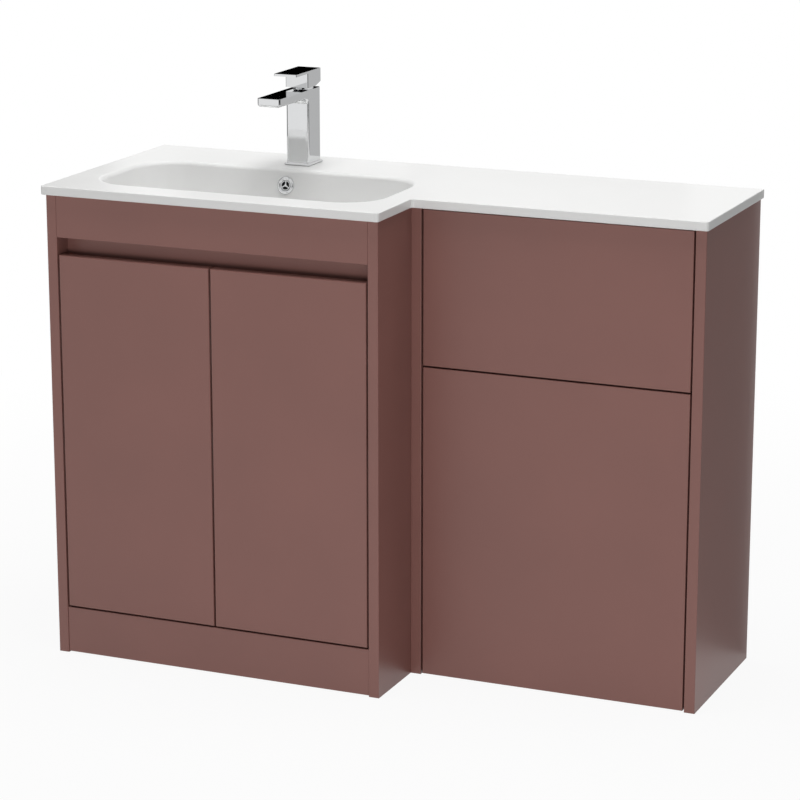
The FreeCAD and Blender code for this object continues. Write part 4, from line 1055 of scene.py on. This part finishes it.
@dataclass
class Studio:
    """The floor, the sky, the lamps and the cards round the object."""

    floor_half: float = 30.0
    floor_colour: str = "#DDDDDD"
    shadow_start: float = 0.7
    shadow_reach: float = 2.2
    shadow_white: float = 0.92
    sky_colour: str = "#FFFFFF"
    sky: float = 0.24
    mirror_sky: float = 0.8
    lamps: list[Softbox] = field(default_factory=lambda: [
        Softbox("overhead_softbox", (0.0, 0.0, 4.0), (0.0, 0.0, 0.0), (2.6, 2.6), 121.0),
        Softbox("low_front_strip", (1.3, -4.2, 0.45), (0.0, 0.0, 0.4), (2.6, 0.75), 56.0),
    ])
    cards: list[Card] = field(default_factory=lambda: [
        Card("black_flag", (-0.75, 0.65, 1.0), (-0.25, 0.65, 1.3), 0.0),
        Card("grey_card", (-0.25, 0.62, 0.4), (0.3, 0.62, 1.0), 0.58),
        Card("dark_card", (0.56, 0.24, 0.0), (1.0, 0.24, 1.0), 0.26),
        Card("edge_card", (1.2, -1.1, 0.38), (1.2, 1.6, 1.0), 0.02),
        Card("left_card", (-1.2, -0.3, 0.4), (-1.2, 1.2, 1.7), 0.15),
        Card("ring_card", (0.0, -1.2, 0.92), (1.3, -1.2, 1.9), 0.02),
    ])

    def floor(self) -> None:
        """Lays a plain pale floor that is white to the camera and keeps a soft shadow."""
        material = blank_material("pale_studio_floor")
        tree = material.node_tree
        matt = add_node(tree, "BsdfDiffuse", {"Color": linear(self.floor_colour)})
        glow = add_node(tree, "Emission", {"Strength": 1.0})
        path = add_node(tree, "LightPath")
        seen = path.outputs["Is Camera Ray"]
        for ray in ("Is Glossy Ray", "Is Transmission Ray"):
            either = add_node(tree, "Math", {"operation": "MAXIMUM"}, {0: seen, 1: path.outputs[ray]})
            seen = either.outputs[0]
        spot = add_node(tree, "NewGeometry").outputs["Position"]
        away = add_node(tree, "VectorMath", {"operation": "LENGTH"}, {0: spot})
        # Near the object the floor is a little less white, which leaves its shadow
        share = add_node(tree, "MapRange", {"From Min": self.shadow_start, "From Max": self.shadow_reach,
                                            "To Min": self.shadow_white, "To Max": 1.0,
                                            "interpolation_type": "SMOOTHSTEP"},
                         {"Value": away.outputs["Value"]})
        white = add_node(tree, "Math", {"operation": "MULTIPLY"}, {0: seen, 1: share.outputs[0]})
        both = add_node(tree, "MixShader",
                        links={0: white.outputs[0], 1: matt.outputs[0], 2: glow.outputs[0]})
        add_node(tree, "OutputMaterial", links={"Surface": both.outputs[0]})
        half = self.floor_half
        corners = [(-half, -half, 0.0), (half, -half, 0.0), (half, half, 0.0), (-half, half, 0.0)]
        ground = flat_sheet("studio_floor", corners, material)

    def backdrop(self) -> None:
        """Makes a sky that is white to the eye and dimmer as a lamp."""
        world = bpy.data.worlds.new("studio")
        world.use_nodes = True
        tree = world.node_tree
        tree.nodes.clear()
        path = add_node(tree, "LightPath")
        mirror = add_node(tree, "Math", {"operation": "MAXIMUM"},
                          {0: path.outputs["Is Glossy Ray"], 1: path.outputs["Is Transmission Ray"]})
        level = add_node(tree, "MapRange", {"To Min": self.sky, "To Max": self.mirror_sky},
                         {"Value": mirror.outputs[0]})
        white = add_node(tree, "Math", {"operation": "MAXIMUM"},
                         {0: level.outputs[0], 1: path.outputs["Is Camera Ray"]})
        glow = add_node(tree, "Background", {"Color": linear(self.sky_colour)},
                        {"Strength": white.outputs[0]})
        add_node(tree, "OutputWorld", links={"Surface": glow.outputs[0]})
        bpy.context.scene.world = world

    def build(self) -> None:
        """Sets up the whole studio."""
        bpy.context.scene.view_settings.view_transform = "Standard"
        self.floor()
        self.backdrop()
        for item in [*self.lamps, *self.cards]:
            item.build()


def sub_assemblies() -> list[SubAssembly]:
    """Lists the object's sub-assemblies with the finish of every node.

    Returns:
        The sub-assemblies in building order.
    """
    paint, chrome, zinc = SatinPaint(), PolishedChrome(), ZincPlate()
    brass, rubber, plastic = TurnedBrass(), SealRubber(), MouldedPlastic()
    panel, rail = FoiledBoard(RawEdge.BACK), FoiledBoard(RawEdge.ENDS)
    return [
        SubAssembly("basin cabinet", {
            **dict.fromkeys(["vanity_left_side", "vanity_right_side", "vanity_plinth", "vanity_fascia",
                             "handle_channel"], paint),
            **dict.fromkeys(["vanity_base_panel", "vanity_shelf"], panel),
            **dict.fromkeys(["plinth_batten", "vanity_top_rail", "vanity_lower_rail"], rail),
            "shelf_pins": zinc}),
        ScrewedAssembly("doors", {
            **dict.fromkeys(["left_door", "right_door"], paint),
            **dict.fromkeys(["left_hinge_cups", "right_hinge_cups", "left_hinge_pins", "right_hinge_pins",
                             "left_cup_screws", "right_cup_screws", "hinge_arms", "hinge_plates",
                             "plate_screws", "arm_screws"], zinc),
            "door_bumpers": rubber},
            screw_bodies={"left_cup_screws": "left_door", "right_cup_screws": "right_door",
                          "plate_screws": "cabinet", "arm_screws": "cabinet"}),
        SubAssembly("toilet unit", {
            **dict.fromkeys(["wc_left_side", "wc_right_side", "wc_lower_panel", "wc_upper_panel"], paint),
            **dict.fromkeys(["wc_top_rail", "wc_lower_rail", "wc_left_batten", "wc_right_batten",
                             "wc_cross_rail"], rail),
            **dict.fromkeys(["wc_clip_sockets", "wc_clip_studs"], plastic)}),
        ScrewedAssembly("fixings", dict.fromkeys(["connector_sleeves", "connector_bolts", "wall_brackets",
                                                  "bracket_screws"], zinc),
                        screw_bodies={"bracket_screws": "cabinet"}),
        Basin("basin", {
            "basin_top": GelCoat(),
            **dict.fromkeys(["overflow_ring", "overflow_insert", "waste_body", "waste_plug"], chrome),
            **dict.fromkeys(["overflow_elbow", "waste_back_nut"], plastic),
            "waste_seal": rubber}),
        Tap("tap", {
            **dict.fromkeys(["tap_body", "tap_lever", "tap_rotor"], chrome),
            **dict.fromkeys(["tap_cross_pin", "lever_grub_screw", "tap_fixing_stud",
                             "tap_steel_washer"], zinc),
            **dict.fromkeys(["tap_cartridge", "tap_stem", "tap_fixing_nut"], brass),
            **dict.fromkeys(["tap_base_seal", "tap_rubber_washer"], rubber),
            "tap_aerator": plastic}),
    ]


def main() -> None:
    """Builds the scene round the frame."""
    logging.basicConfig(level=logging.INFO, format="%(name)s: %(message)s")
    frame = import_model()
    Viewpoint().build()
    Studio().build()
    for assembly in sub_assemblies():
        assembly.dress(frame)
        assembly.build(frame)


if __name__ == "__main__":
    main()
